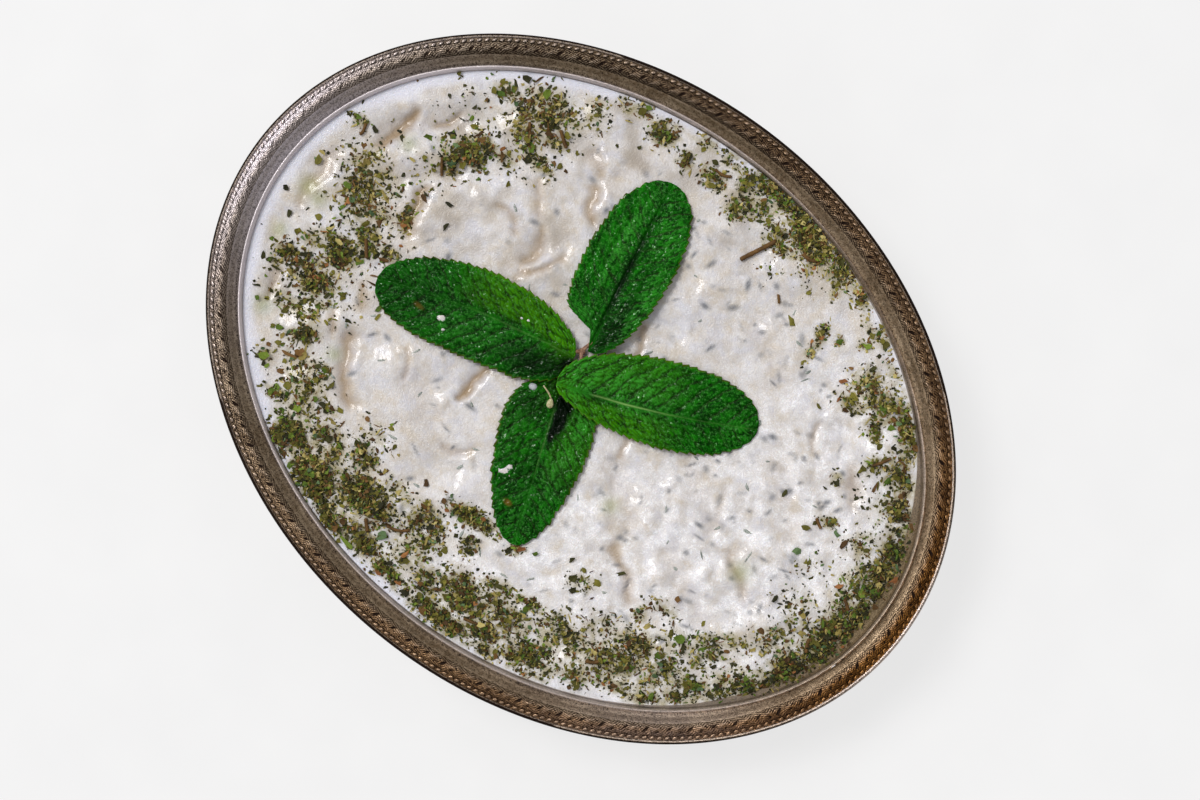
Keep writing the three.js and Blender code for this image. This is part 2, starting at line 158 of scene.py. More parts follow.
# Leaves: base and tip in plan, sideways bow, widths and fullness of each half (left of
# base-to-tip first), height of the base over the dip, the arch between, and each half's fold.
# Then the count and depth of the side veins, pleats along each half, height of the quilted
# skin, where the rib starts to show and how pale it is, light through each half, how far the
# left half is set back at the base, and patches of painted shade and of painted sheen: place
# along and across, reach along and across, strength.
LEAVES = {
    "leaf_left": dict(
        base=(-6.5, 5.5), tip=(-62.1, -11), bow=-1.86, halves=(13.2, 12.2),
        base_fullness=(7.6, 3.8), tip_fullness=(5.3, 4.4), lift=1.9, arch=1.5, fold=(-0.9, -0.7),
        fold_power=1.4, veins=12, vein_depth=(0.9, 0.35), pleats=(0, 0), quilt=1.0,
        rib_start=0.0, rib_shade=0.16, yellow=(0, 0.85), set_back=0,
        painted_shade_patches=[(0.12, 0.55, 0.26, 0.42, 0.85), (0.9, 0, 0.3, 1.2, 0.5), (0.02, 0.5, 0.08, 0.6, 1),
                (0.5, 0.1, 0.4, 1.2, 0.25)],
        painted_sheen_patches=[(0.52, 0.4, 0.22, 0.3, 0.8), (0.8, -0.3, 0.16, 0.45, 0.3)]),
    "leaf_upper": dict(
        base=(-4.8, 9), tip=(-15, 59.3), bow=0.5, halves=(12.9, 13.1),
        base_fullness=(6.5, 2.9), tip_fullness=(4.8, 4.7), lift=1.9, arch=0, fold=(1.7, 1.9),
        fold_power=0.75, veins=11, vein_depth=(0.3, 0.5), pleats=(0.2, 0.05), quilt=0.75,
        rib_start=0.0, rib_shade=0.0, yellow=(0, 0), set_back=5.5,
        painted_shade_patches=[(0.42, -0.02, 0.42, 0.1, 0.95), (0.08, -0.4, 0.2, 0.5, 0.8),
                (0.3, -0.45, 0.2, 0.2, 0.5)],
        painted_sheen_patches=[(0.62, 0.36, 0.3, 0.13, 1.0), (0.12, 0.6, 0.1, 0.4, 0.7),
               (0.3, -0.75, 0.22, 0.2, 0.8), (0.72, -0.6, 0.15, 0.3, 0.5)]),
    "leaf_right": dict(
        base=(-6.3, -2.9), tip=(44.5, 21.4), bow=-1.6, halves=(15.4, 12.8),
        base_fullness=(3.9, 1.3), tip_fullness=(4.2, 3.2), lift=3.3, arch=0.6, fold=(-0.7, 0.0),
        fold_power=1.4, veins=12, vein_depth=(1.0, 0.3), pleats=(0, 0), quilt=1.1,
        rib_start=0.16, rib_shade=1.0, yellow=(0.45, 0.65), set_back=0,
        painted_shade_patches=[(0.2, -0.1, 0.1, 0.2, 0.5), (0.72, -0.1, 0.25, 0.3, 0.35), (1, 0, 0.1, 1, 0.2)],
        painted_sheen_patches=[(0.36, 0.34, 0.2, 0.36, 1.0), (0.42, -0.2, 0.14, 0.2, 0.7),
               (0.92, -0.1, 0.08, 0.4, 0.6), (0.1, 0.3, 0.13, 0.9, 1)]),
    "leaf_lower": dict(
        base=(-5.2, -1.0), tip=(12.1, -44.5), bow=-0.2, halves=(13.7, 14.1),
        base_fullness=(8, 8), tip_fullness=(1.9, 2.3), lift=0.1, arch=0.4, fold=(0.5, -0.1),
        fold_power=1.3, veins=10, vein_depth=(0.6, 0.6), pleats=(0, 0), quilt=1.1,
        rib_start=0.1, rib_shade=0.25, yellow=(0.35, 0.05), set_back=0,
        painted_shade_patches=[(0.03, 0.2, 0.06, 0.8, 1), (0.12, 0.2, 0.1, 0.25, 1.6),
                (0.22, 0.18, 0.12, 0.17, 1.6), (0.32, 0.1, 0.08, 0.1, 1.3),
                (0.18, -0.6, 0.18, 0.5, 0.5), (0.7, -0.2, 0.35, 1, 0.3)],
        painted_sheen_patches=[(0.5, 0.45, 0.3, 0.3, 0.6), (0.8, -0.2, 0.16, 0.4, 0.5),
               (0.3, -0.75, 0.2, 0.15, 0.5), (0.22, 0.66, 0.14, 0.25, 1)]),
}
LEAF_SEEDS = {name: 200 + 10 * k for k, name in enumerate(LEAVES)}
# A brown spot on two leaves: place, half sizes and strength.
BROWN_SPOTS = {"leaf_lower": (3.6, -36.5, 1.3, 0.8, 0.9), "leaf_left": (-48.5, -9.7, 1.6, 0.7, 0.5)}
LEAF_THICKNESS = 0.45
LEAF_CLEARANCE = 0.35
LEAF_STEPS = 190
LEAF_ACROSS = 81
TOOTH_PITCH = 2.3
TOOTH_DEPTH = 0.72
VEIN_LEAN, VEIN_BEND = 0.62, 0.03
CROSS_SPACING = 2.3
QUILT_RISE = 0.62
CELL_SIZE = 1.2
CELL_STRETCH = 0.58
CELL_RISE = 0.3

STEM_PLACE = (-6.3, 8.1)
STEM_RADIUS = 0.95
PETIOLE_ENDS = [(-8.6, 6.0), (-5.4, 12.4), (-3.4, 4.4)]
BUD_PLACE = (-4.1, -8.2)
BUD_SIZES = (1.4, 0.92, 0.85)
BUD_TURN = math.radians(118)
# Drops of yoghurt on the leaves: leaf, place, half sizes, turn. Then one on the dish, and water.
LEAF_DROPS = [
    ("leaf_left", (-41.6, -8.6), (1.3, 0.85, 0.4), 0.2),
    ("leaf_left", (-39.3, -10.6), (0.6, 0.45, 0.3), 0.6),
    ("leaf_left", (-22.7, 5.6), (0.6, 0.4, 0.25), 1.0),
    ("leaf_left", (-24.5, 5.0), (0.4, 0.3, 0.2), 0.0),
    ("leaf_lower", (-2.6, -30.3), (2.3, 1.35, 0.5), -0.1),
    ("leaf_lower", (-2.0, -28.6), (0.9, 0.7, 0.35), 0.4)]
DISH_DROP = (100.9, -16.2)
WATER_DROP = (-10.6, -7.6)

# Clumps of dried mint: place, half sizes along and across, turn in degrees, share covered.
HERB_CLUMPS = [
    # left end, from the top round to the bottom
    (-54, 53, 10, 6.5, 20, 0.6), (-55, 45.5, 8, 4.5, -40, 0.6), (-66, 50.5, 4.5, 2.6, 15, 0.6),
    (-47, 41, 6, 2.6, -12, 0.6), (-62, 36, 6, 2.8, -12, 0.6), (-63, 31.5, 5.5, 3.4, -10, 0.85),
    (-66, 26.5, 4.6, 3.4, -40, 0.7), (-70, 22, 5, 6, 0, 0.12), (-43, 61, 6, 3.6, -20, 0.42),
    (-80, 5, 13, 7, -51, 0.56), (-76, 3, 19, 12, -51, 0.16), (-62, 44, 20, 12, 20, 0.12),
    (-93, 20, 3, 2.2, 0, 0.4), (-84, 13.5, 4, 5, 0, 0.42), (-78, 9, 8, 6, 20, 0.42),
    (-75, 3, 9, 4.5, 0, 0.4), (-66, 6.5, 2.4, 5, 15, 0.6), (-83, 3.5, 4, 3, 0, 0.5),
    (-71, -4, 7, 3.6, -35, 0.62), (-75, -9.5, 8, 2.6, 5, 0.62), (-74, -12.5, 5, 3.6, 0, 0.75),
    (-82, -13.5, 4, 3, 0, 0.45), (-86, -21, 4, 2.8, 20, 0.65), (-76, -21.5, 8.5, 6, -10, 0.7),
    (-70, -25, 4, 5, 0, 0.45), (-76, -31, 9, 3, 5, 0.36), (-68, -34.5, 3.6, 4.6, -40, 0.62),
    (-72, -38, 4.5, 2, 0, 0.42), (-65, -42, 6, 3.5, -20, 0.4), (-60, -46, 7, 5.5, -30, 0.62),
    (-73.5, -46.5, 3, 2.6, 0, 0.5), (-64, -52.5, 4.5, 2.2, 12, 0.7), (-55, -52, 6, 4, -15, 0.5),
    (-50, -47, 5, 2.6, -15, 0.42), (-53, -58, 8, 2.8, -22, 0.85), (-44, -55, 7, 5.5, -20, 0.62),
    (-63.5, -4, 3.6, 2.4, 0, 0.6), (-72, -29, 5, 4, 0, 0.55), (-58, -40.5, 4, 2.8, -20, 0.6),
    (-56, -61, 6, 2.4, -30, 0.8), (-48, 48, 4.5, 3, 10, 0.5), (-55, 36, 4, 2.6, 0, 0.5),
    (-38, 68, 4, 2.2, -10, 0.45), (-86, -24, 3, 2.2, 0, 0.6), (-36, -44.5, 6, 4, -15, 0.3),
    (-69, 29, 5, 4, 0, 0.4), (-70, 14, 7, 9, 0, 0.14), (-74, -20, 14, 14, 0, 0.2),
    (-62, -44, 10, 8, -30, 0.2), (-58, 42, 12, 9, 0, 0.2),
    # lower side
    (65, -55.5, 7, 2.4, 32, 0.8), (-32, -70, 7, 2.4, -14, 0.85), (20, -68, 6, 3.5, 5, 0.8),
    (-11, -71.5, 6, 2.4, -4, 0.8), (72, -50, 5, 2.4, 38, 0.8), (-13, -60, 4, 2.5, 0, 0.6),
    (53, -58, 5, 2.6, 20, 0.75), (60, -50, 4, 2.6, 20, 0.65), (71, -38.5, 4, 2.5, 0, 0.65),
    (17, -60, 4, 2.2, 0, 0.7), (15, 67, 5, 2.2, 0, 0.65), (-42, -64, 11, 5.5, -24, 0.95),
    (-28, -60, 11, 6, -8, 0.86), (-35, -51, 5, 3.6, -10, 0.72), (-22, -52.5, 7, 2.8, -15, 0.5),
    (-10, -56, 8, 6, 0, 0.66), (-22, -69, 10, 4, -10, 0.74), (-1, -46, 8, 2.8, 4, 0.86),
    (2.5, -52, 2.8, 3, 0, 0.7), (-9, -64.5, 6, 4.5, 0, 0.5), (-12, -52, 3, 3, 0, 0.6),
    (-6, -72.5, 8, 2.4, -3, 0.5), (0, -66.5, 6, 4.5, 0, 0.7), (10, -64, 9, 6, 0, 0.82),
    (9, -72.5, 11, 3.6, 4, 0.88), (16, -56.5, 5, 2.8, 15, 0.66), (13.5, -45, 3, 2, 40, 0.7),
    (25, -54.5, 6.5, 1.8, 8, 0.75), (24, -62, 8, 6, 0, 0.66), (36, -56, 6, 6, 0, 0.66),
    (35, -66, 9, 5.5, 12, 0.82), (24, -71.5, 7, 2.6, 8, 0.6), (33, -41.5, 4.5, 3.4, 20, 0.42),
    (47, -62, 6, 5.5, 25, 0.5), (44, -55, 7, 5.5, 0, 0.72), (53, -52, 8, 6, 25, 0.8),
    (55, -45, 7, 4.5, 10, 0.85), (45, -46, 7, 4, 20, 0.42), (55, -33, 6, 2.6, 0, 0.4),
    (64, -47, 8, 6, 35, 0.72), (63, -38, 6, 4.5, 0, 0.5), (71, -34, 6, 4.5, 10, 0.66),
    (73, -44.5, 6, 2.6, 25, 0.85), (70, -52, 5, 3.6, 35, 0.6), (76, -28, 6, 3, 15, 0.6),
    (81, -36, 6, 4.5, 40, 0.6), (59, -56.5, 6, 2.8, 30, 0.66), (51, -38, 2.6, 3, 0, 0.6),
    # right end
    (84, -21, 8, 5, 35, 0.55), (90, -23, 6, 3.6, 60, 0.85), (85, -11, 7, 7, 0, 0.42),
    (94, -10, 5, 12, -8, 0.98), (97, -2, 3, 14, -3, 1.0), (92, 4, 5, 10, 0, 0.72),
    (95, 12, 3.6, 12, 14, 0.95), (87, 14, 6, 5, 0, 0.5), (86, 26, 7, 6, -35, 0.42),
    (75.5, 13.5, 3.6, 1.8, 30, 0.7), (82, 35, 8, 5, -50, 0.75), (88, 29, 3, 8, 22, 0.85),
    (77, 46, 8, 4, -40, 0.92), (70, 49, 6, 6, 0, 0.8), (62, 49, 7, 5, -20, 0.85),
    (60, 43, 5, 3, 0, 0.75), (69, 41, 5, 2.6, -30, 0.72), (75, 33, 3, 4, -20, 0.6),
    (69.5, 24, 2.4, 2.6, 0, 0.5), (80, 1, 4, 5, 0, 0.25), (78, 24, 4, 4, 0, 0.15),
    # upper side
    (54, 61.5, 5, 2, -10, 0.6), (53, 57.5, 3, 2, 30, 0.62), (64, 56, 6, 2.6, -30, 0.4),
    (42, 52, 2.2, 4.4, 10, 0.72), (47, 54, 2.2, 2, 0, 0.6), (42.2, 47.5, 1.7, 3.6, 0, 0.62),
    (44, 67.5, 6, 2.8, -28, 0.75), (35, 70, 8, 5, -18, 0.84), (38, 63, 2, 2.2, 0, 0.5),
    (24, 71.5, 11, 6.5, -12, 0.9), (20, 64.5, 8, 2.4, 10, 0.66), (9, 75.5, 9, 4.2, -2, 0.88),
    (56, 62, 6, 1.6, -38, 0.6), (17, 76, 6, 2.4, -8, 0.9), (6, 68, 7, 3.6, 15, 0.62),
    (1, 72, 3.6, 4, 0, 0.72), (2, 64.5, 3.4, 3.4, 40, 0.66), (-6, 74.5, 6, 2.6, 8, 0.46),
    (-7.5, 67.5, 5, 3.4, 0, 0.62), (-15, 74, 6, 2.6, 8, 0.4), (-16.5, 66.3, 3.2, 2.8, 0, 0.7),
    (-25.5, 68.5, 5, 4, 10, 0.72), (-33.5, 70, 4, 2.4, 12, 0.5), (29, 61, 6, 3, -20, 0.25),
    (20, 57, 4, 4, 0, 0.1),
]
# Single larger pieces: place, length, width, turn in degrees, kind.
HERB_PIECES = [
    (-57.3, 56.8, 4.4, 3, 80, "green"), (-63.8, 56.6, 3.4, 2.2, 20, "dark"),
    (-67, 49.2, 4, 2.2, 20, "green"), (-66, 51.5, 2.8, 1.6, 120, "dark"),
    (-42.3, 44, 2.2, 2, 100, "olive"), (-59.2, 16.8, 3.4, 1.5, 8, "dark"),
    (-56.2, 11.4, 3.2, 1.4, 95, "dark"), (-66, 15.2, 3.2, 0.8, -5, "dark"),
    (-74.8, 27.8, 3.2, 2.4, 20, "green"), (-93.5, 20.2, 3.8, 2.2, 10, "green"),
    (-94.6, 4.2, 5, 2.8, 100, "olive"), (-84.6, 3.8, 3.6, 2.6, -20, "green"),
    (-65.5, 6.5, 4.2, 2.2, 80, "olive"), (-63.8, -6, 4, 1.8, 20, "brown"),
    (-96.6, -7, 2, 1.7, 30, "dark"), (-91.6, -12, 3, 1.7, 120, "dark"),
    (-73.5, -13.5, 4.6, 3, 20, "green"), (-86.3, -18, 2.4, 1.6, 60, "dark"),
    (-85.5, -25.8, 3, 1.1, 10, "dark"), (-74.4, -38, 2.8, 2.6, 0, "green"),
    (-84.5, -35.2, 2, 1.7, 0, "green"), (-68.4, -34, 4.6, 2.4, 50, "dark"),
    (-73.2, -46.8, 3.8, 3.2, 30, "green"), (-64.2, -52.6, 6, 1.6, 15, "brown"),
    (-55, -57.5, 6.5, 2.8, -28, "olive"), (-17, -46.2, 2.6, 2, 120, "brown"),
    (-17.3, -65, 3.6, 3.4, 30, "grey"), (-9.3, -65, 3.6, 2.2, 80, "rust"),
    (-12.3, -73.2, 2.8, 1.8, -20, "rust"), (-6, -72.2, 2.6, 1.6, 20, "rust"),
    (-3.2, -73, 3.4, 2.4, 0, "dark"), (-23, -72.4, 6, 1.6, -8, "green"),
    (16.3, -56, 4.4, 1.8, 18, "dark"), (14.6, -44, 3, 2, 60, "rust"),
    (18.2, -43, 3.2, 1.6, 70, "green"), (27, -38, 2.2, 1.4, 60, "dark"),
    (31.5, -38, 2.6, 1.4, -40, "olive"), (36.5, -38.5, 3, 2.4, 0, "olive"),
    (39.8, -32.5, 3.8, 1.3, 40, "dark"), (63.2, -36.3, 3.4, 2.8, 20, "green"),
    (56, -28.4, 2.8, 1.6, -20, "brown"), (54.2, -33.2, 3, 1.6, -10, "brown"),
    (84.8, -34, 4.2, 2.4, -35, "green"), (73, -44.6, 6, 2.4, 12, "olive"),
    (76.8, -11.4, 2.8, 1.7, 80, "dark"), (73.3, 2, 2.6, 2.4, 0, "grey"),
    (71, 8.6, 2.8, 2, 30, "olive"), (61, 12.5, 3.2, 1.6, 100, "dark"),
    (76, 14.5, 3.6, 2.2, 40, "olive"), (79, 12.4, 2.8, 1.9, -20, "grey"),
    (82.3, 11.4, 3.2, 1.8, 80, "brown"), (53.3, 36.6, 2.8, 1.4, -30, "olive"),
    (33.4, 50, 4.6, 2.2, -38, "olive"), (41.3, 52, 3.8, 2.4, 80, "olive"),
    (47, 54, 2.8, 2, 60, "green"), (53.6, 57.5, 3.6, 2.2, 35, "green"),
    (54.2, 62, 3.6, 1.9, -25, "green"), (57.8, 57.4, 2, 1.6, 60, "dark"),
    (42.8, 67.6, 3.4, 1.8, 20, "rust"), (54.2, 45.8, 3.2, 1.8, 40, "rust"),
    (-25.2, 68, 4.6, 3.4, 60, "green"), (-16.4, 66, 3.6, 2.8, 60, "olive"),
    (-6.6, 65.4, 3.2, 1.6, 15, "olive"), (-33, 71.2, 3, 1.7, 10, "green"),
    (-28.4, 61.2, 1.9, 1.3, 90, "dark"), (20.6, 56.4, 1.8, 1, 10, "dark"),
    (21.5, 74, 3.4, 2, 0, "brown"), (88.3, 1.7, 3.2, 1.8, 60, "rust"),
    (-10, 71, 2.6, 1.7, 0, "dark"), (88.5, -14.6, 3, 2, 30, "straw"),
]
# Dried stalks: start, end, radius.
STALKS = [
    ((12, 54.6), (16.4, 64.4), 0.62), ((24.4, 66.2), (28.2, 66.9), 0.5),
    ((26, 53.5), (27.6, 51.8), 0.38), ((-48, 51.5), (-44, 48.8), 0.5), ((-56, 48), (-53, 44), 0.45),
    ((-68.5, 25.6), (-65.8, 21.8), 0.42), ((-90.6, 20), (-90.2, 16.8), 0.45),
    ((-71, -4.6), (-67.8, -8.4), 0.5), ((-23.8, -64), (-21.4, -66.4), 0.5),
    ((-18, -62), (-12.6, -59), 0.4), ((91, -14.6), (92.6, -18), 0.5), ((75, 33), (77.6, 37.6), 0.4),
    ((72, 12.4), (74.6, 11), 0.42), ((6, -60), (10, -63), 0.42), ((47, -57), (50, -54.4), 0.5),
    ((14, -68.6), (18, -67.4), 0.42), ((91, 0), (94.4, -1.8), 0.45),
    ((-8.6, 69.4), (-4, 70.6), 0.4),
]
# Kinds of dried mint: share of the flakes, how much it drifts over the dip and gains on the
# upper side, share of twigs, and its darkest and lightest tint.
HERB_KINDS = {
    "dark": (0.31, 0.05, -0.15, 0.04, (24, 24, 8), (72, 72, 26)),
    "olive": (0.3, 0.1, 0.04, 0.04, (62, 60, 12), (130, 124, 46)),
    "green": (0.09, 0.14, -0.02, 0.04, (52, 78, 14), (124, 146, 48)),
    "brown": (0.17, -0.14, 0, 0.35, (54, 36, 14), (126, 92, 46)),
    "straw": (0.12, -0.1, 0.13, 0.35, (134, 118, 56), (198, 184, 116)),
    "rust": (0.01, 0, 0, 0.04, (116, 70, 34), (176, 122, 70)),
    "grey": (0.03, 0, 0, 0.04, (48, 72, 42), (110, 136, 88)),
}
HERB_REACH = (100, 78)
FLAKE_AREA = 0.38
MOST_COVER = 0.985
SLIDE_ANGLE, SLIDE_SPREAD, SLIDE_WIDTH = -0.12, 0.62, 6.5
FLAKE_CORNERS = 7
PIECE_HEIGHT = 0.35
HERB_SEED = 41
SPECK_TRIES, MOST_SPECKS = 60000, 4500

# View and light: the camera looks straight down from this height over this place, and the
# window's azimuth and elevation are in degrees.
CAMERA_PLACE = (5.9, 0.88, 733.0)
CAMERA_TURN = math.radians(38.53)
LENS, SENSOR = 77.85, 36.0
WINDOW_AZIMUTH, WINDOW_ELEVATION = 180, 59

# Squares a side in the lattices of the noises, which repeat after them.
LATTICE = 128


# ---------------------------------------------------------------- formulas

def smooth(x):
    """3u^2 - 2u^3 with u held between 0 and 1."""
    u = np.clip(x, 0, 1)
    return u * u * (3 - 2 * u)


def hill(place, width, power=4):
    """1 at a place of 0, falling to 0 past a width: e^-|place / width|^power."""
    return np.exp(-(np.abs(place / width) ** power))


def patch(p, q, long, wide, power):
    """1 in the middle of an oval patch, falling to 0 outside it: e^-(p^2 + q^2)^power in its
    half sizes."""
    return np.exp(-(((p / long) ** 2 + (q / wide) ** 2) ** power))


def turned(x, y, angle):
    """A place turned anticlockwise about the origin."""
    return x * np.cos(angle) - y * np.sin(angle), x * np.sin(angle) + y * np.cos(angle)


def off(angle, middle):
    """How far an angle is from a middle one, between -pi and pi."""
    return np.angle(np.exp(1j * (angle - middle)))


def bearing(x, y):
    """The oval's angle at a place."""
    return np.arctan2(y / HALF_WIDTH, x / HALF_LENGTH)


def round_share(x, y, middle, spread):
    """1 at a bearing round the oval, falling to 0 away from it."""
    return hill(off(bearing(x, y), middle), spread, 2)


def high_share(angle):
    """1 round the side where the dip stands highest against the metal, 0 on the other."""
    return hill(off(angle, HIGH_SIDE), HIGH_SIDE_SPREAD)


def noise(x, y, size, seed):
    """Smooth random heights, about -1 to 1: on a square lattice of that size each corner has a
    random slope, and the four slopes round a place are blended by a smoothstep."""
    turns = np.random.default_rng(seed).uniform(0, 2 * np.pi, (LATTICE, LATTICE))
    u, v = x / size, y / size
    i, j = np.floor(u).astype(int), np.floor(v).astype(int)
    fu, fv = u - i, v - j

    def corner(di, dj):
        turn = turns[(i + di) % LATTICE, (j + dj) % LATTICE]
        return np.cos(turn) * (fu - di) + np.sin(turn) * (fv - dj)

    su, sv = smooth(fu), smooth(fv)
    near = corner(0, 0) * (1 - su) + corner(1, 0) * su
    far = corner(0, 1) * (1 - su) + corner(1, 1) * su
    return 1.5 * (near * (1 - sv) + far * sv)


def cell_edges(x, y, size, seed):
    """0 on the borders of random cells, rising to about 1 at their middles: the difference of
    the distances to the two nearest of one random point in each square of a lattice."""
    shift = np.random.default_rng(seed).uniform(0.1, 0.9, (2, LATTICE, LATTICE))
    u, v = x / size, y / size
    i, j = np.floor(u).astype(int), np.floor(v).astype(int)
    nearest = np.full(np.shape(u), 9.0)
    second = np.full(np.shape(u), 9.0)
    for di in (-1, 0, 1):
        for dj in (-1, 0, 1):
            ci, cj = (i + di) % LATTICE, (j + dj) % LATTICE
            away = np.hypot(i + di + shift[0, ci, cj] - u, j + dj + shift[1, ci, cj] - v)
            second = np.minimum(second, np.maximum(nearest, away))
            nearest = np.minimum(nearest, away)
    return np.clip(second - nearest, 0, 1)


def oval(angle, inward):
    """The oval (a cos, b sin), moved in by a distance along its normal (cos / a, sin / b)."""
    nx, ny = np.cos(angle) / HALF_LENGTH, np.sin(angle) / HALF_WIDTH
    k = inward / np.hypot(nx, ny)
    return HALF_LENGTH * np.cos(angle) - k * nx, HALF_WIDTH * np.sin(angle) - k * ny


def pattern_angles(count):
    """Angles that cut the rim's pattern into equal parts. The pattern is a little longer at the
    oval's ends: half of its share runs with the length of the rim, half with the bearing."""
    fine = np.linspace(0, 2 * np.pi, OVAL_STEPS)
    x, y = oval(fine, 0.0)
    run = np.append(0, np.cumsum(np.hypot(np.diff(x), np.diff(y))))
    seen_angle = np.unwrap(np.arctan2(y, x))
    share = 0.5 * run / run[-1] + 0.5 * seen_angle / (2 * np.pi)
    return np.interp(np.arange(count) / count, share, fine)


def flange_height(inward):
    """The rim is a rounded crown: from its top it falls by a power of the distance, gently
    outwards and deeply inwards."""
    outside = np.maximum(CROWN - inward, 0) / CROWN
    inside = np.maximum(inward - CROWN, 0) / (WELL_START - CROWN)
    return RIM_TOP - OUTER_FALL * outside ** CROWN_POWER - INNER_FALL * inside ** CROWN_POWER


WELL_TOP = flange_height(WELL_START) - WELL_STEP


def well_height(inward):
    """The inside of the well: (1 - u)^power of its depth, u from its top to its floor."""
    u = np.clip((inward - WELL_START) / (FOOT_START - WELL_START), 0, 1)
    return FLOOR_TOP + (WELL_TOP - FLOOR_TOP) * (1 - u) ** WELL_POWER


def well_inward(z):
    """How far in from the outer edge the well's inside lies at a height."""
    left = (z - FLOOR_TOP) / (WELL_TOP - FLOOR_TOP)
    return WELL_START + (FOOT_START - WELL_START) * (1 - left ** (1 / WELL_POWER))


# ---------------------------------------------------------------- meshes

def joined(x, y, z):
    """Points from arrays of their three coordinates."""
    return np.stack(np.broadcast_arrays(x, y, z), axis=-1)


def ring_quads(rows, columns):
    """Quads between neighbouring rows of a grid whose columns close round."""
    r, c = np.meshgrid(np.arange(rows - 1), np.arange(columns), indexing="ij")
    a = r * columns + c
    b = r * columns + (c + 1) % columns
    return np.stack([a, b, b + columns, a + columns], axis=-1).reshape(-1, 4)


def closed_rings(rings, first_middle, last_middle):
    """Points and faces of a closed skin: rows of a ring each, with a middle point at each end."""
    rows, columns = rings.shape[:2]
    points = np.concatenate([rings.reshape(-1, 3), [first_middle, last_middle]])
    start = np.arange(columns)
    after = (start + 1) % columns
    first, last = len(points) - 2, len(points) - 1
    top = (rows - 1) * columns
    fans = np.concatenate([
        np.stack([np.full(columns, first), after, start], axis=1),
        np.stack([np.full(columns, last), top + start, top + after], axis=1)])
    return points, [ring_quads(rows, columns), fans]


def add_piece(name, points, face_sets, material, values=None, replaces=None, flat=False):
    """A piece of the object from points in millimetres and arrays of triangles or quads, with
    its values at the points as attributes."""
    mesh = bpy.data.meshes.new(name)
    corners = np.concatenate([np.asarray(faces).ravel() for faces in face_sets])
    sizes = np.concatenate([np.full(len(faces), np.shape(faces)[1]) for faces in face_sets])
    mesh.vertices.add(len(points))
    mesh.vertices.foreach_set("co", (np.asarray(points) * MM).astype(np.float32).ravel())
    mesh.loops.add(len(corners))
    mesh.loops.foreach_set("vertex_index", corners.astype(np.int32))
    mesh.polygons.add(len(sizes))
    mesh.polygons.foreach_set("loop_start", (np.cumsum(sizes) - sizes).astype(np.int32))
    mesh.polygons.foreach_set("use_smooth", np.full(len(sizes), not flat))
    mesh.update(calc_edges=True)
    for key, value in (values or {}).items():
        attribute = mesh.attributes.new(key, "FLOAT", "POINT")
        attribute.data.foreach_set("value", np.asarray(value, dtype=np.float32).ravel())
    mesh.materials.append(material)
    piece = bpy.data.objects.new(name, mesh)
    bpy.context.scene.collection.objects.link(piece)
    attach(piece, "root")
    if replaces:
        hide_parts(replaces)


def repeated(faces, count, copies):
    """Faces of many copies of a shape, each moved on by the shape's count of points."""
    return (faces[None] + count * np.arange(copies)[:, None, None]).reshape(-1, faces.shape[1])


def ball_template(around, rows):
    """A unit ball's points, ring by ring between two poles, and its quads and end fans."""
    polar = np.pi * np.arange(1, rows) / rows
    turn = 2 * np.pi * np.arange(around) / around
    across, up = np.sin(polar)[:, None], -np.cos(polar)[:, None]
    rings = joined(across * np.cos(turn), across * np.sin(turn), up)
    return closed_rings(rings, (0, 0, -1), (0, 0, 1))


# ---------------------------------------------------------------- shader tools

def colour(red, green, blue):
    """A linear colour with alpha from the usual 0 to 255 values."""
    shares = np.array([red, green, blue]) / 255
    linear = np.where(shares <= 0.04045, shares / 12.92, ((shares + 0.055) / 1.055) ** 2.4)
    return (*linear, 1.0)


def connect(tree, node, inputs):
    """Inputs of a node: a socket is linked, anything else is a value."""
    for key, value in inputs.items():
        if isinstance(value, bpy.types.NodeSocket):
            tree.links.new(value, node.inputs[key])
        else:
            node.inputs[key].default_value = value


def add_node(tree, kind, inputs=None, **settings):
    """A node with its settings and inputs."""
    node = tree.nodes.new(kind)
    for key, value in settings.items():
        setattr(node, key, value)
    connect(tree, node, inputs or {})
    return node


def mixed(tree, share, first, second):
    """Two colours mixed by a share."""
    node = add_node(tree, "ShaderNodeMix", data_type="RGBA",
                    inputs={0: share, 6: first, 7: second})
    return node.outputs[2]


def layered(tree, base, layers):
    """A colour with others laid over it in turn: each layer is a share, or the name of the
    attribute that holds it, and a colour."""
    for share, tint in layers:
        share = attribute(tree, share) if isinstance(share, str) else share
        base = mixed(tree, share, base, colour(*tint))
    return base


def ranged(tree, value, low, high, new_low=0.0, new_high=1.0):
    """A value between low and high, brought to between new_low and new_high."""
    node = add_node(tree, "ShaderNodeMapRange", inputs={
        "Value": value, "From Min": low, "From Max": high, "To Min": new_low, "To Max": new_high})
    return node.outputs[0]


def sums(tree, operation, first, second=0.0):
    """A sum, difference, product or sine."""
    node = add_node(tree, "ShaderNodeMath", operation=operation, inputs={0: first, 1: second})
    return node.outputs[0]


def attribute(tree, name):
    """The piece's own values of one name."""
    return add_node(tree, "ShaderNodeAttribute", attribute_name=name).outputs["Fac"]


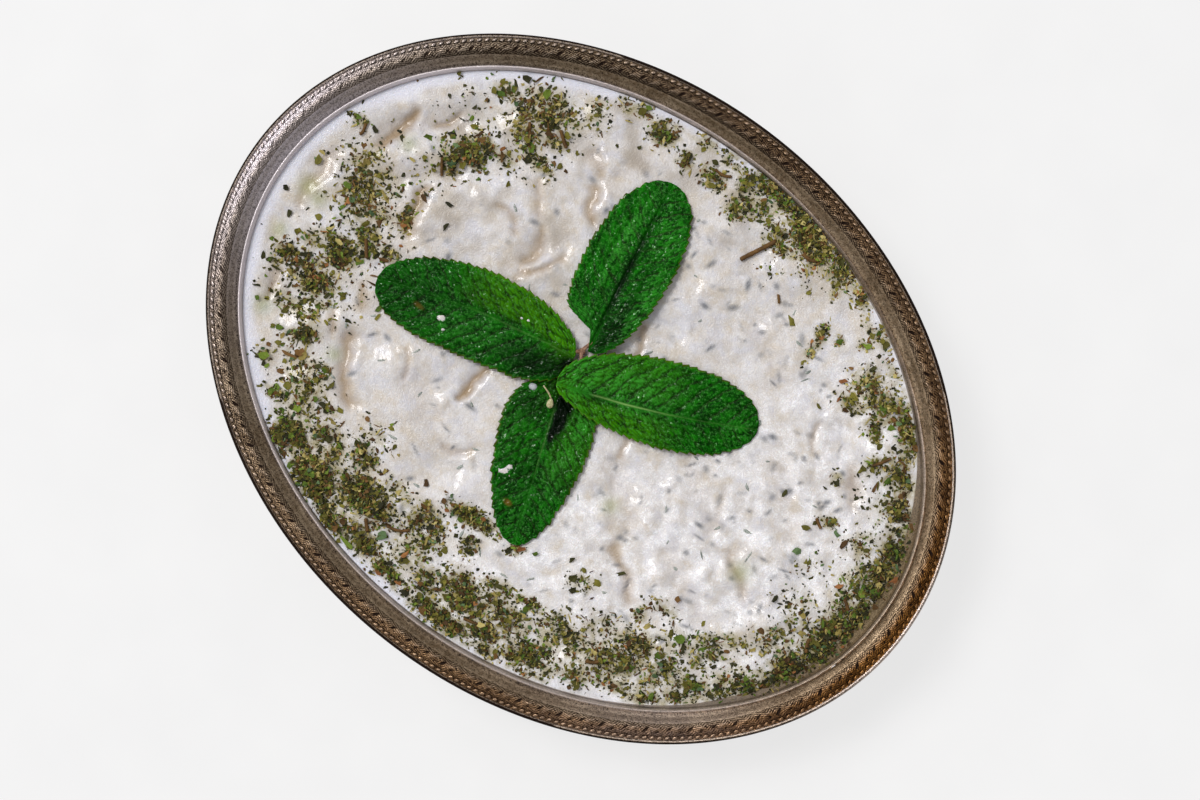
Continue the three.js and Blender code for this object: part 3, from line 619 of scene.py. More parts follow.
def mottle_group():
    """Uneven grain: coarse and fine noise added, from 0 to 1 round a middle of one half."""
    group = bpy.data.node_groups.new("mottle", "ShaderNodeTree")
    for key, kind in (("Place", "Vector"), ("Coarse", "Float"), ("Fine", "Float"),
                      ("Contrast", "Float")):
        group.interface.new_socket(name=key, in_out="INPUT", socket_type="NodeSocket" + kind)
    group.interface.new_socket(name="Value", in_out="OUTPUT", socket_type="NodeSocketFloat")
    given = group.nodes.new("NodeGroupInput").outputs
    coarse, fine = (
        add_node(group, "ShaderNodeTexNoise", inputs={
            "Vector": given["Place"], "Scale": given[size], "Detail": detail,
            "Roughness": roughness}).outputs["Fac"]
        for size, detail, roughness in (("Coarse", 3.0, 0.6), ("Fine", 2.0, 0.5)))
    centred = sums(group, "SUBTRACT", sums(group, "ADD", coarse, fine), 1.0)
    spread = sums(group, "MULTIPLY", centred, given["Contrast"])
    moved = add_node(group, "ShaderNodeMath", operation="ADD", use_clamp=True,
                     inputs={0: spread, 1: 0.5})
    connect(group, group.nodes.new("NodeGroupOutput"), {"Value": moved.outputs[0]})
    return group


MOTTLE = mottle_group()


def mottle(tree, place, coarse, fine, contrast):
    """Uneven grain in a material, with its coarse and fine grains in waves a millimetre."""
    node = add_node(tree, "ShaderNodeGroup", node_tree=MOTTLE, inputs={
        "Place": place, "Coarse": coarse, "Fine": fine, "Contrast": contrast})
    return node.outputs["Value"]


def start_material(name):
    """A material with its node tree, its shader and the place on the piece in millimetres."""
    material = bpy.data.materials.new(name)
    material.use_nodes = True
    tree = material.node_tree
    tree.nodes.clear()
    shader = tree.nodes.new("ShaderNodeBsdfPrincipled")
    output = tree.nodes.new("ShaderNodeOutputMaterial")
    connect(tree, output, {"Surface": shader.outputs["BSDF"]})
    place = add_node(tree, "ShaderNodeTexCoord").outputs["Object"]
    scaled = add_node(tree, "ShaderNodeVectorMath", operation="SCALE",
                      inputs={0: place, "Scale": 1 / MM})
    return material, tree, shader, scaled.outputs[0]


def set_bump(tree, shader, height, strength, distance):
    """Relief from a height, its distance in millimetres."""
    bump = add_node(tree, "ShaderNodeBump", inputs={
        "Height": height, "Strength": strength, "Distance": distance * MM})
    connect(tree, shader, {"Normal": bump.outputs["Normal"]})


# ---------------------------------------------------------------- finishes

def aged_metal(name, grain_size, roughness):
    """Worn silver-grey plate with brown patina and painted shade in its hollows, bright on its worn
    edges, with a painted highlight on the window's side, brass showing on one side, its orange
    also a painted warm reflection, and a film of the dip where it is smeared, whitened as
    painted light on the lit side."""
    material, tree, shader, place = start_material(name)
    bare, brass_reflection_share, smear_and_painted_light = (attribute(tree, key) for key in ("bare", "brass_and_warm_reflection", "smear_and_painted_light"))
    blotches = mottle(tree, place, 0.11, 0.9, 2.2)
    grain = mottle(tree, place, grain_size, 2.6 * grain_size, 2.4)
    plate = mixed(tree, blotches, colour(138, 119, 94), colour(184, 166, 140))
    brass_and_warm_reflection = mixed(tree, blotches, colour(120, 76, 28), colour(186, 128, 60))
    shiny = mixed(tree, brass_reflection_share, colour(228, 216, 212), colour(222, 190, 148))
    # A painted highlight: pale plate colour laid over the window's side.
    plate_and_highlight = layered(tree, mixed(tree, brass_reflection_share, plate, brass_and_warm_reflection), [(bare, (226, 217, 222))])
    plate_and_highlight = mixed(tree, attribute(tree, "polish_and_highlight"), plate_and_highlight, shiny)
    turn = sums(tree, "MULTIPLY", attribute(tree, "hatch"), 2 * math.pi)
    strokes = ranged(tree, sums(tree, "SINE", turn), -0.1, 0.9, 0.0, 0.66)
    # Fewer dark strokes under the painted highlight.
    strokes = sums(tree, "MULTIPLY", strokes, ranged(tree, bare, 0, 1, 1, 0.5))
    patches = ranged(tree, grain, 0.55, 0.12, 0.0, 0.62)
    # Dirt and painted shade in one dark colour: patina in the hollows, the painted shade of the
    # gutter and the well's wall, grain patches and dark strokes.
    dirt_and_shade = sums(tree, "ADD", attribute(tree, "patina_and_shade"), sums(tree, "ADD", patches, strokes))
    dirt_and_shade = add_node(tree, "ShaderNodeClamp", inputs={0: dirt_and_shade}).outputs[0]
    film = mixed(tree, grain, colour(88, 75, 48), colour(162, 144, 112))
    film = layered(tree, film, [(ranged(tree, brass_reflection_share, 0.0, 0.4, 1.0, 0.0), (228, 220, 224))])
    dirtied_and_shaded = layered(tree, plate_and_highlight, [(dirt_and_shade, (34, 25, 20))])
    rough = ranged(tree, grain, 0.0, 1.0, roughness - 0.06, roughness + 0.1)
    connect(tree, shader, {
        "Base Color": mixed(tree, smear_and_painted_light, dirtied_and_shaded, film),
        "Metallic": ranged(tree, smear_and_painted_light, 0.0, 1.0, 1.0, 0.2),
        "Roughness": sums(tree, "ADD", rough, sums(tree, "MULTIPLY", dirt_and_shade, 0.2))})
    set_bump(tree, shader, sums(tree, "SUBTRACT", grain, strokes), 0.45, 0.09)
    return material


def yoghurt_finish():
    """Thick strained yoghurt: painted warm shade in its creases, painted light and glints on its
    right side and painted shade on its left, bluish where a thin film meets the metal, grey and
    green over the shreds of cucumber just under its skin."""
    material, tree, shader, place = start_material("strained_yoghurt")
    broad = mottle(tree, place, 0.07, 0.35, 1.6)
    fine = mottle(tree, place, 0.55, 1.7, 1.8)
    tone = mottle(tree, place, 0.1, 0.3, 2.4)
    ripple = mottle(tree, place, 0.9, 2.4, 2.0)
    light = attribute(tree, "light")
    # Painted glints: crisp near-white spots where the right side is painted light.
    painted_glints = sums(tree, "MULTIPLY", ranged(tree, ripple, 0.58, 0.7, 0.0, 1.4), light)
    body = mixed(tree, broad, colour(204, 198, 192), colour(221, 219, 218))
    body = layered(tree, body, [
        (ranged(tree, tone, 0.55, 1.0, 0.0, 0.5), (203, 190, 168)),
        (ranged(tree, tone, 0.36, 0.05, 0.0, 0.4), (204, 206, 218)),
        (ranged(tree, fine, 0.62, 0.95, 0.0, 0.4), (236, 235, 235)),
        # Painted light with its painted glints, the painted shade of the left side and the painted
        # warm shade of the creases.
        (light, (240, 239, 240)), (painted_glints, (252, 252, 253)), ("shade", (172, 163, 151)),
        ("crease", (150, 122, 80)), ("film", (232, 234, 246)), ("cucumber", (100, 104, 110)),
        ("green", (150, 156, 92)), ("stain", (148, 136, 76))])
    connect(tree, shader, {
        "Base Color": body, "Roughness": ranged(tree, fine, 0.0, 1.0, 0.22, 0.4),
        "Specular IOR Level": 0.5, "Coat Weight": 0.45, "Coat Roughness": 0.08,
        "Subsurface Weight": 0.1, "Subsurface Radius": (1.0, 0.8, 0.6),
        "Subsurface Scale": 1.2 * MM})
    set_bump(tree, shader, ripple, 0.5, 0.2)
    return material


def mint_finish():
    """Fresh mint: painted shade in its valleys and dark patches, painted sheen and highlights,
    pale ribs, yellow where light comes through.
    """
    material, tree, shader, place = start_material("fresh_mint_leaf")
    patches = mottle(tree, place, 0.14, 0.5, 2.8)
    cells = mottle(tree, place, 1.3, 3.6, 2.2)
    skin = mixed(tree, patches, colour(1, 62, 0), colour(18, 114, 6))
    skin = layered(tree, skin, [("yellow", (70, 141, 0)), ("painted_sheen", (50, 140, 38))])
    # Painted shade in the valleys between veins and cells.
    valley = layered(tree, skin, [(0.94, (0, 14, 0))])
    skin = mixed(tree, attribute(tree, "raised"), valley, skin)
    # Painted highlights in spots of the fine mottle, pale ribs, painted shade patches, brown
    # margins.
    skin = layered(tree, skin, [
        (ranged(tree, cells, 0.6, 0.85, 0.0, 0.5), (62, 158, 44)), ("rib", (128, 172, 92)),
        ("dark", (0, 12, 0)), ("brown", (108, 82, 30))])
    connect(tree, shader, {
        "Base Color": skin, "Roughness": ranged(tree, cells, 0.0, 1.0, 0.4, 0.28),
        "Specular IOR Level": 0.04, "Coat Weight": ranged(tree, cells, 0.74, 0.88, 0.0, 0.85),
        "Coat Roughness": 0.13})
    set_bump(tree, shader, cells, 0.4, 0.2)
    return material


def plain_plant_finish(name, dark, light, roughness):
    """Stalks, bud and cucumber: one tint running into another in fine streaks."""
    material, tree, shader, place = start_material(name)
    streaks = mottle(tree, place, 0.7, 2.6, 2.2)
    connect(tree, shader, {
        "Base Color": mixed(tree, streaks, colour(*dark), colour(*light)),
        "Roughness": roughness})
    set_bump(tree, shader, streaks, 0.5, 0.15)
    return material


def dried_finish(kind, dark, light):
    """Dried mint of one kind: each flake has its own tint, with a fine mottle on top."""
    material, tree, shader, place = start_material("dried_mint_" + kind)
    grain = mottle(tree, place, 1.4, 4.5, 2.0)
    share = sums(tree, "ADD", sums(tree, "MULTIPLY", attribute(tree, "tint"), 0.72),
                 sums(tree, "MULTIPLY", grain, 0.28))
    connect(tree, shader, {
        "Base Color": mixed(tree, share, colour(*dark), colour(*light)),
        "Roughness": 0.7, "Specular IOR Level": 0.3})
    set_bump(tree, shader, grain, 0.6, 0.15)
    return material


def water_finish():
    """Clear water, a little cloudy."""
    material, tree, shader, place = start_material("water")
    specks = mottle(tree, place, 0.8, 2.4, 1.4)
    clear = (226, 232, 236)
    dimmer = [0.8 * share for share in clear]
    connect(tree, shader, {
        "Base Color": mixed(tree, specks, colour(*dimmer), colour(*clear)),
        "Roughness": 0.12, "Transmission Weight": 0.35, "IOR": 1.34})
    set_bump(tree, shader, specks, 0.3, 0.2)
    return material


# ---------------------------------------------------------------- dish

def corner_cut(points):
    """Two points at a quarter and three quarters of every stretch, which rounds the corners of
    an open line and keeps its ends."""
    quarter = 0.75 * points[:-1] + 0.25 * points[1:]
    three = 0.25 * points[:-1] + 0.75 * points[1:]
    inner = np.stack([quarter, three], axis=1).reshape(-1, 2)
    return np.concatenate([points[:1], inner, points[-1:]])


def rim_line():
    """The rim's section from the rolled edge to the well, as distance in and height: a circle
    for the roll, then the crown's line with its grooves and the rounded ridge."""
    turn = np.radians([-90, -55, -20, 15, 45, 75, 100, 125])
    top = flange_height(ROLL_RADIUS) + ROLL_RISE
    roll = np.stack([ROLL_RADIUS * (1 - np.cos(turn)),
                     top - ROLL_RADIUS + ROLL_RADIUS * np.sin(turn)], axis=1)
    inward, rise = np.array(RIM_RELIEF).T
    flange = np.stack([inward, flange_height(inward) + rise], axis=1)
    return np.concatenate([roll[:-1], corner_cut(np.concatenate([roll[-1:], flange]))])


def dish_line():
    """The whole section: the foot, up the outside, over the rim, down the well and its floor."""
    inward = WELL_START + (FOOT_START - WELL_START) * WELL_SHARES
    well = np.stack([inward, well_height(inward)], axis=1)
    along = np.gradient(well, axis=0)
    along /= np.linalg.norm(along, axis=1, keepdims=True)
    outside = well + METAL * np.stack([along[:, 1], -along[:, 0]], axis=1)
    outside[:, 1] = np.maximum(outside[:, 1], 0)
    beneath = np.array([7.6, 5.6, 3.6, 1.6])
    under = np.stack([beneath, flange_height(beneath) - METAL], axis=1)
    return np.concatenate([[(FOOT_START, 0.0)], outside[::-1][1:], under, rim_line(), well])


def metal_values(points, patina_and_shade, polish_and_highlight, brass_and_warm_reflection):
    """Attributes of the metal: dirt and painted shade in its hollows, bright worn edges, brass
    showing most towards +X and a little along -Y, its orange also a painted warm reflection,
    and a painted highlight towards -X, the window's side, with less dirt and shade under it."""
    x, y = points[:, 0], points[:, 1]
    # Brass shows most towards +X; there its orange also stands in for a warm reflection, a painted
    # reflection.
    shown = np.clip(round_share(x, y, 0.1, 0.8) + 0.55 * round_share(x, y, -1.3, 0.9)
                    + 0.4 * round_share(x, y, 1.5, 0.6), 0, 1)
    # A painted highlight on the window's side, -X, and a little round bearing -0.8.
    bare = 0.95 * round_share(x, y, math.pi, 0.46) + 0.18 * round_share(x, y, -0.8, 0.3)
    return {"patina_and_shade": patina_and_shade * (1 - 0.75 * bare), "polish_and_highlight": polish_and_highlight, "brass_and_warm_reflection": brass_and_warm_reflection * shown,
            "bare": bare}


def ridge_shift(angle):
    """How much farther in than its section the ridge runs: nearest to the edge at +X."""
    return 0.95 * (1 - hill(off(angle, 0.05), 0.6)) - 0.2


def dish_values(line, rings, points):
    """Wear and painted light of the dish by the band of its section, which is the distance in from
    the outer edge, and by side: dirt in the hollows, painted shade in the gutter and on the
    well's wall away from the light, bright worn edges with a painted highlight along the roll,
    and smears of the dip on the ridge, in the gutter beside it and on the wall of the well,
    whitened as painted light on the lit side."""
    x, y = rings[..., 0], rings[..., 1]
    band = np.concatenate([[FOOT_START], line[:, 0], [FOOT_START]])[:, None]
    depth = np.concatenate([[0], line[:, 1] - flange_height(line[:, 0]), [0]])[:, None]
    inside = np.arange(len(band))[:, None] > len(line) - len(WELL_SHARES)
    on_rim = (band < WELL_START) & (depth > -DEEPEST_RELIEF)
    roll, gutter = on_rim & (band < ROLL_END), on_rim & (band > GUTTER_START)
    chased = on_rim & (band > ROLL_END) & (band < PLAIN_START)
    plain = on_rim & (band > PLAIN_START) & (band < PLAIN_END)

    # The first share is the +X end, where the roll has no dark outer edge and is made shiny where
    # it catches the light: a painted highlight.
    bright_roll_side, clean_side = round_share(x, y, 0.0, 0.45), round_share(x, y, 0.0, 0.9)
    # Two sides where the roll's dark outer edge is wider and its shiny line fainter.
    wide_dark_edge_sides = np.clip(round_share(x, y, 1.4, 0.55) + round_share(x, y, -1.7, 0.55), 0, 1)
    pale_side = round_share(x, y, HIGH_SIDE, 0.8)
    dull_side = round_share(x, y, UPPER_SIDE, 0.45)
    # The lit side, towards the window: there the ridge and the well's wall are painted light and
    # the gutter has no painted shade.
    lit_side = np.clip(1.25 * round_share(x, y, HIGH_SIDE, 1.25)
                       + 0.7 * round_share(x, y, -1.2, 0.6), 0, 1)
    # Sides where the gutter is left without its painted shade and made pale instead.
    unshaded_gutter_sides = np.maximum(np.maximum(0.95 * clean_side, 0.8 * dull_side), 0.6 * lit_side)
    worn_less = on_rim * (band > PLAIN_END) * np.maximum(0.85 * dull_side, 0.5 * pale_side)

    patina_and_shade = np.where(on_rim & (band > ROLL_END), np.clip(-depth / DARK_DEPTH, 0, 1), 0)
    patina_and_shade = np.where(plain, 0.05, patina_and_shade)
    # A dark outer edge on the roll, wider on two sides and left out towards +X.
    patina_and_shade = np.where(roll & (band < 0.66 + 0.24 * wide_dark_edge_sides), 0.96 * (1 - bright_roll_side), patina_and_shade)
    # Painted shade: a dark gutter beside the ridge, left out on some sides.
    patina_and_shade = np.where(gutter, 0.95 * (1 - unshaded_gutter_sides), patina_and_shade)
    # Painted shade on the well's wall, fading out on the lit side.
    patina_and_shade = np.where(inside, 0.2 * (1 - lit_side), patina_and_shade)
    # A dark line at the ridge's foot on the lit side.
    patina_and_shade = np.maximum(patina_and_shade, 0.5 * on_rim * hill(band - RIDGE_FOOT, 0.2) * lit_side)

    # A shiny line along the roll's top, stronger on the lit high side and fainter on two sides: a
    # painted highlight.
    roll_highlight = hill(band - 0.95, 0.28) * (0.45 + 0.35 * pale_side) * (1 - 0.8 * wide_dark_edge_sides)
    polish_and_highlight = np.where(on_rim, 0.9 * hill(band - RIDGE_MIDDLE, 0.4), 0)
    polish_and_highlight = np.where(roll, np.maximum(roll_highlight, 0.75 * bright_roll_side), polish_and_highlight) * (1 - worn_less)

    smear_and_painted_light = np.where(inside, 0.7, 0.55 * hill(band - RIDGE_MIDDLE, 0.36) * on_rim)
    smear_and_painted_light = smear_and_painted_light * (1 - worn_less)
    # Painted light from here on: the ridge, the gutter and the well's wall are whitened on the lit
    # side and where the gutter has no painted shade.
    smear_and_painted_light = np.maximum(smear_and_painted_light, 0.95 * on_rim * hill(band - RIDGE_MIDDLE, 0.5) * lit_side)
    smear_and_painted_light = np.where(gutter, np.maximum(smear_and_painted_light, 0.65 * unshaded_gutter_sides), smear_and_painted_light)
    smear_and_painted_light = np.where(inside, np.maximum(smear_and_painted_light, 0.97 * lit_side), smear_and_painted_light)

    brass_and_warm_reflection = np.where(chased, 1.0, np.where(band > RIDGE_FOOT, 0.4, 0.15))
    patina_and_shade, polish_and_highlight, brass_and_warm_reflection, smear_and_painted_light, roll, shown = (
        np.append(np.broadcast_to(row, x.shape).ravel(), (0, 0))
        for row in (patina_and_shade, polish_and_highlight, brass_and_warm_reflection, smear_and_painted_light, roll, (on_rim | inside) & ~roll))
    values = {**metal_values(points, patina_and_shade, polish_and_highlight, brass_and_warm_reflection), "smear_and_painted_light": smear_and_painted_light}
    values["patina_and_shade"] = np.where(roll, patina_and_shade, values["patina_and_shade"])
    values["bare"] = np.where(shown, values["bare"], 0)
    return values


def make_dish(metal):
    """The section carried round the oval. Its ridge is shifted in by side, worn flat on the
    upper one and a little lower on the high one."""
    line = dish_line()
    angles = pattern_angles(DISH_COLUMNS)
    inward, height = line[:, :1], line[:, 1:]
    moved = smooth((inward - 7.1) / 0.6) * (1 - smooth((inward - RIDGE_END) / 1.2))
    x, y = oval(angles[None], inward + ridge_shift(angles)[None] * moved)
    worn_flat = 0.8 * round_share(x, y, UPPER_SIDE, 0.45) * (np.abs(inward - 8.3) < 0.75)
    flat = flange_height(np.minimum(inward, WELL_START))
    height = height + worn_flat * (flat - height) * (height > flat - DEEPEST_RELIEF)
    lowered = 0.18 * high_share(angles)[None] * hill(inward - RIDGE_MIDDLE, 0.35)
    height = height - lowered * (height > flat - DEEPEST_RELIEF)
    rings = joined(x, y, height)
    rings = np.concatenate([rings[:1] * (0.45, 0.45, 1), rings, rings[-1:] * (0.45, 0.45, 1)])
    points, faces = closed_rings(rings, (0, 0, 0), (0, 0, FLOOR_TOP))
    values = dish_values(line, rings, points)
    add_piece("dish_body", points, faces, metal, values, replaces="dish")


def engraving(arc, inward):
    """Relief of the scroll band, arc along it in motifs: punched slanting pits, bundles of
    raised curved strokes across them, and fine hatching at both sides."""
    def place(share, middle, degrees):
        along = ((arc - share + 0.5) % 1.0 - 0.5) * MOTIF_LENGTH
        return turned(along, inward - middle, -math.radians(degrees))

    lean = 0.75 * inward + 0.25 * np.sin(2 * np.pi * 2 * arc)
    relief = 0.2 * np.sin(2 * np.pi * (arc * 19 - lean)) * hill(inward - 3.3, 1.5)
    relief = relief + 0.08 * np.sin(2 * np.pi * (arc * 31 + 1.2 * inward))
    for share, middle, half, degrees, bend in PLUMES:
        p, q = place(share, middle, degrees)
        relief = np.maximum(relief, 0.7 * hill(q - bend * p * p, 0.1, 2) * hill(p, half))
    for share, middle, half, width, degrees, depth in PITS:
        uneven = 1 + 0.7 * noise(arc * 0.83 + share, 0 * arc, 1.0, 6)
        pit = patch(*place(share, middle, degrees), half, width, 1.3)
        relief = relief - 1.9 * depth * uneven * pit
    return np.clip(relief, -1.2, 1)


def make_engraving(metal):
    """The engraved strip: a closed band let into the crown, its top carrying the relief."""
    angles = pattern_angles(ENGRAVED_COLUMNS)
    inward = np.linspace(ENGRAVED_START, ENGRAVED_END, ENGRAVED_ROWS)[:, None]
    arc = np.arange(ENGRAVED_COLUMNS)[None] / ENGRAVED_COLUMNS * MOTIFS
    relief = engraving(arc, inward)
    fade = smooth(np.minimum(inward - ENGRAVED_START, ENGRAVED_END - inward) / 0.25)
    wear = 0.8 + 0.35 * noise(arc * 1.3, inward, 1.0, 5)
    top = flange_height(inward) - 0.04 + ENGRAVED_RISE * relief * fade * wear
    x, y = oval(angles[None], inward)
    upper = joined(x, y, top)
    lower = upper[[-1, 0]] - (0, 0, STRIP_DEPTH)
    rings = np.concatenate([upper, lower, upper[:1]])
    points = rings[:-1].reshape(-1, 3)
    faces = ring_quads(len(rings), ENGRAVED_COLUMNS) % len(points)

    def with_underside(field, value):
        wide = np.broadcast_to(field, relief.shape).ravel()
        return np.append(wide, np.full(2 * ENGRAVED_COLUMNS, float(value)))

    # Darker round bearing 1.9.
    darker_side_share = 0.26 * round_share(points[:, 0], points[:, 1], 1.9, 0.75)
    patina_and_shade = with_underside(np.clip(0.3 - 1.2 * relief, 0, 1), 1) + darker_side_share
    polish_and_highlight = with_underside(0.7 * np.clip(relief - 0.3, 0, 1), 0)
    brass_and_warm_reflection = with_underside(1 - 0.75 * smooth((inward - 3.4) / 2), 1)
    values = metal_values(points, np.clip(patina_and_shade, 0, 1), polish_and_highlight, brass_and_warm_reflection)
    # The painted highlight fades inwards across the band.
    values["bare"] *= with_underside(1 - 0.45 * smooth((inward - 2.9) / 1.1), 1)
    # fine strokes: long ones nearly along the rim, and short ones across them by turns
    turns = np.sin(2 * np.pi * 2 * arc + 1.4 * inward)
    hatch = np.where(turns > -0.2, 7 * arc + 1.9 * inward, 1.3 * inward - 13 * arc)
    values["hatch"] = with_underside(hatch, 0)
    add_piece("rim_engraving", points, [faces], metal, values)


def make_beads(metal):
    """Ellipsoids evenly along the pattern, each leaning from its path."""
    ball, face_sets = ball_template(12, 8)
    angles = pattern_angles(BEADS)
    x, y = oval(angles, BEAD_MIDDLE)
    ahead, side = oval(angles + 1e-4, BEAD_MIDDLE)
    turn = np.arctan2(side - y, ahead - x) + BEAD_SLANT
    local = ball * BEAD_HALF_SIZES
    px, py = turned(local[:, 0], local[:, 1], turn[:, None])
    inward = BEAD_MIDDLE + turned(local[:, 0], local[:, 1], BEAD_SLANT)[1]
    pz = flange_height(inward) + 0.1 + local[:, 2]
    points = joined(x[:, None] + px, y[:, None] + py, pz).reshape(-1, 3)
    faces = [repeated(part, len(ball), BEADS) for part in face_sets]
    # Darker lower half of each bead.
    low = np.tile(np.clip(0.75 - 1.2 * ball[:, 2], 0, 0.95), BEADS)
    polish_and_highlight = np.tile(np.clip(ball[:, 2] * 0.7 - 0.25, 0, 0.4), BEADS)
    values = metal_values(points, low, polish_and_highlight, 1.0)
    # Under the painted highlight the beads are made shinier and their dark lower halves lighter;
    # brass dulls them.
    strength = (1 + 3.5 * values["bare"]) * (1 - 0.6 * values["brass_and_warm_reflection"])
    values["polish_and_highlight"] = np.clip(values["polish_and_highlight"] * strength, 0, 1)
    values["patina_and_shade"] *= 1 - 0.6 * values["bare"]
    add_piece("rim_beads", points, faces, metal, values)


# ---------------------------------------------------------------- dip

def edge_level(angle):
    """The dip's edge: level, but lower on one side and a little higher on the other."""
    drop = LOW_SIDE_DROP * hill(off(angle, LOW_SIDE), LOW_SIDE_SPREAD)
    return EDGE_LEVEL - drop + HIGH_SIDE_RISE * high_share(angle)


def inward_share(x, y):
    """Distance in from the well's top edge, as if the well were round."""
    return MEAN_RADIUS * np.maximum(0, 1 - np.hypot(x / WELL_LENGTH, y / WELL_WIDTH))


def rest_level(x, y):
    """The dip without its marks: the edge level passing into the body's."""
    edge = edge_level(np.arctan2(y / WELL_WIDTH, x / WELL_LENGTH))
    return edge + (BODY_LEVEL - edge) * (1 - np.exp(-inward_share(x, y) / EDGE_FALL))


def stroke_parts(start, end, bow, width, x, y):
    """A stroke's fading share along it and the place across it in widths."""
    dx, dy = end[0] - start[0], end[1] - start[1]
    length = math.hypot(dx, dy)
    along = ((x - start[0]) * dx + (y - start[1]) * dy) / length
    across = ((y - start[1]) * dx - (x - start[0]) * dy) / length
    across = across - bow * 4 * (along / length) * (1 - along / length)
    fade = smooth((along + width) / (2 * width)) * smooth((length + width - along) / (2 * width))
    return fade, across / width


def bed_share(leaf, x, y):
    """1 under a leaf, where the dip is pressed smooth, falling to 0 away from it."""
    (bx, by), (tx, ty) = leaf["base"], leaf["tip"]
    dx, dy = tx - bx, ty - by
    along = np.clip(((x - bx) * dx + (y - by) * dy) / (dx * dx + dy * dy), 0, 1)
    return hill(np.hypot(x - bx - along * dx, y - by - along * dy), BED_HALF_WIDTH)


def dip_fields(x, y):
    """The dip's height and the share of each place that takes the painted warm shade of a crease:
    strokes and creases are round grooves beside a lower lip, over waves, lumps and noise of
    falling size."""
    warp_x = x + 1.6 * noise(x, y, 7.0, 11) + 0.5 * noise(x, y, 2.6, 12)
    warp_y = y + 1.6 * noise(x, y, 7.0, 13) + 0.5 * noise(x, y, 2.6, 14)
    relief = np.zeros(np.shape(x))
    crease = np.zeros(np.shape(x))
    marks = [(start, end, 0.0, width, depth, 0.25) for start, end, width, depth in SPOON_STROKES]
    marks += [(*row, 1.0) for row in CREASES]
    # The last value of each mark, stain, is how strongly its groove takes painted crease shade.
    for start, end, bow, width, depth, stain in marks:
        fade, q = stroke_parts(start, end, bow, width, warp_x, warp_y)
        relief += depth * fade * (0.42 * hill(q - 1.8, 1, 2) - hill(q, 1, 2))
        crease = np.maximum(crease, stain * min(1.0, depth) * fade * hill(q, 1.05, 2))
    for cx, cy, radius, height in LUMPS:
        relief += height * patch(warp_x - cx, warp_y - cy, radius, radius, 1.5)
    for along_x, along_y, phase, height in DIP_WAVES:
        relief += height * np.sin(2 * np.pi * (x / along_x + y / along_y) + phase)
    rough = 1.0 + 0.5 * smooth((x + 0.4 * y) / 50)
    folds = (1 - np.abs(noise(warp_x, warp_y, 9.0, 21))) ** 4
    relief += rough * (0.28 * noise(x, y, 12.0, 22)
                       + 0.14 * noise(warp_x, warp_y, 4.6, 23)
                       + 0.09 * noise(x + 0.6 * y, y, 1.9, 24)
                       + 0.09 * folds)
    bed = np.max([bed_share(leaf, x, y) for leaf in LEAVES.values()], axis=0)
    calm = smooth(inward_share(x, y) / 9)
    height = rest_level(x, y) + calm * (1 - BED_FLATNESS * bed) * relief
    return height, crease * calm


def dip_height(x, y):
    """The dip's height alone."""
    return dip_fields(x, y)[0]


def sunk_shreds(x, y):
    """Stains of shreds just under the skin: long smooth spots with random places and turns,
    more of them towards the lower right."""
    rng = np.random.default_rng(33)
    stain = np.zeros(np.shape(x))
    radius = np.sqrt(rng.uniform(0, 0.72, SUNK_SHREDS))
    turn = rng.uniform(0, 2 * np.pi, SUNK_SHREDS)
    cx, cy = SUNK_REACH[0] * radius * np.cos(turn), SUNK_REACH[1] * radius * np.sin(turn)
    chance = 0.4 + 0.6 * smooth((cx + 0.5 * cy + 20) / 50)
    keep = rng.uniform(0, 1, SUNK_SHREDS) < chance
    for px, py in zip(cx[keep], cy[keep]):
        lean, long, wide = rng.uniform(0, np.pi), rng.uniform(0.4, 2.0), rng.uniform(0.3, 0.9)
        dark = rng.uniform(0.15, 0.95)
        near = (np.abs(x - px) < 6) & (np.abs(y - py) < 6)
        p, q = turned(x[near] - px, y[near] - py, -lean)
        stain[near] = np.maximum(stain[near], dark * patch(p, q, long, wide, 1.4))
    return stain


def dip_tints(x, y, crease, inward, angle, near_wall):
    """Shares of the dip's tints: painted shade in the creases, the thin film along the metal,
    cucumber and green under the skin, stains under the mint, the painted light of the right
    side and the painted shade of the left one."""
    high_side = 1 - hill(off(angle, LOW_SIDE), 1.1)
    film = hill(inward, 3.4 + 1.2 * noise(x, y, 20.0, 31)) * high_side
    green = np.max([0.55 * patch(x - cx, y - cy, radius, radius, 1)
                    for cx, cy, radius in GREEN_SPOTS], axis=0)
    stain = smooth(herb_cover(x, y) * 1.9) * smooth(0.75 + noise(x, y, 1.8, 35))
    bright = 0.9 * noise(x, y, 4.4, 37) + 0.4 * noise(x, y, 2.0, 38)
    light = smooth((x - 0.6 * y + 4) / 55) * (1 - near_wall) * smooth(0.5 + bright)
    left = 0.16 + 0.84 * smooth((y - 0.9 * x - 8) / 60)
    dim = 0.8 * noise(x, y, 9.0, 39) + 0.5 * noise(x, y, 4.0, 40)
    return {"crease": 0.9 * crease, "film": 0.85 * film,
            "cucumber": sunk_shreds(x, y) * smooth(inward / 8), "green": green,
            "stain": 0.76 * stain, "light": 0.66 * light,
            "shade": 0.9 * left * smooth(0.2 + dim) * (1 - film)}


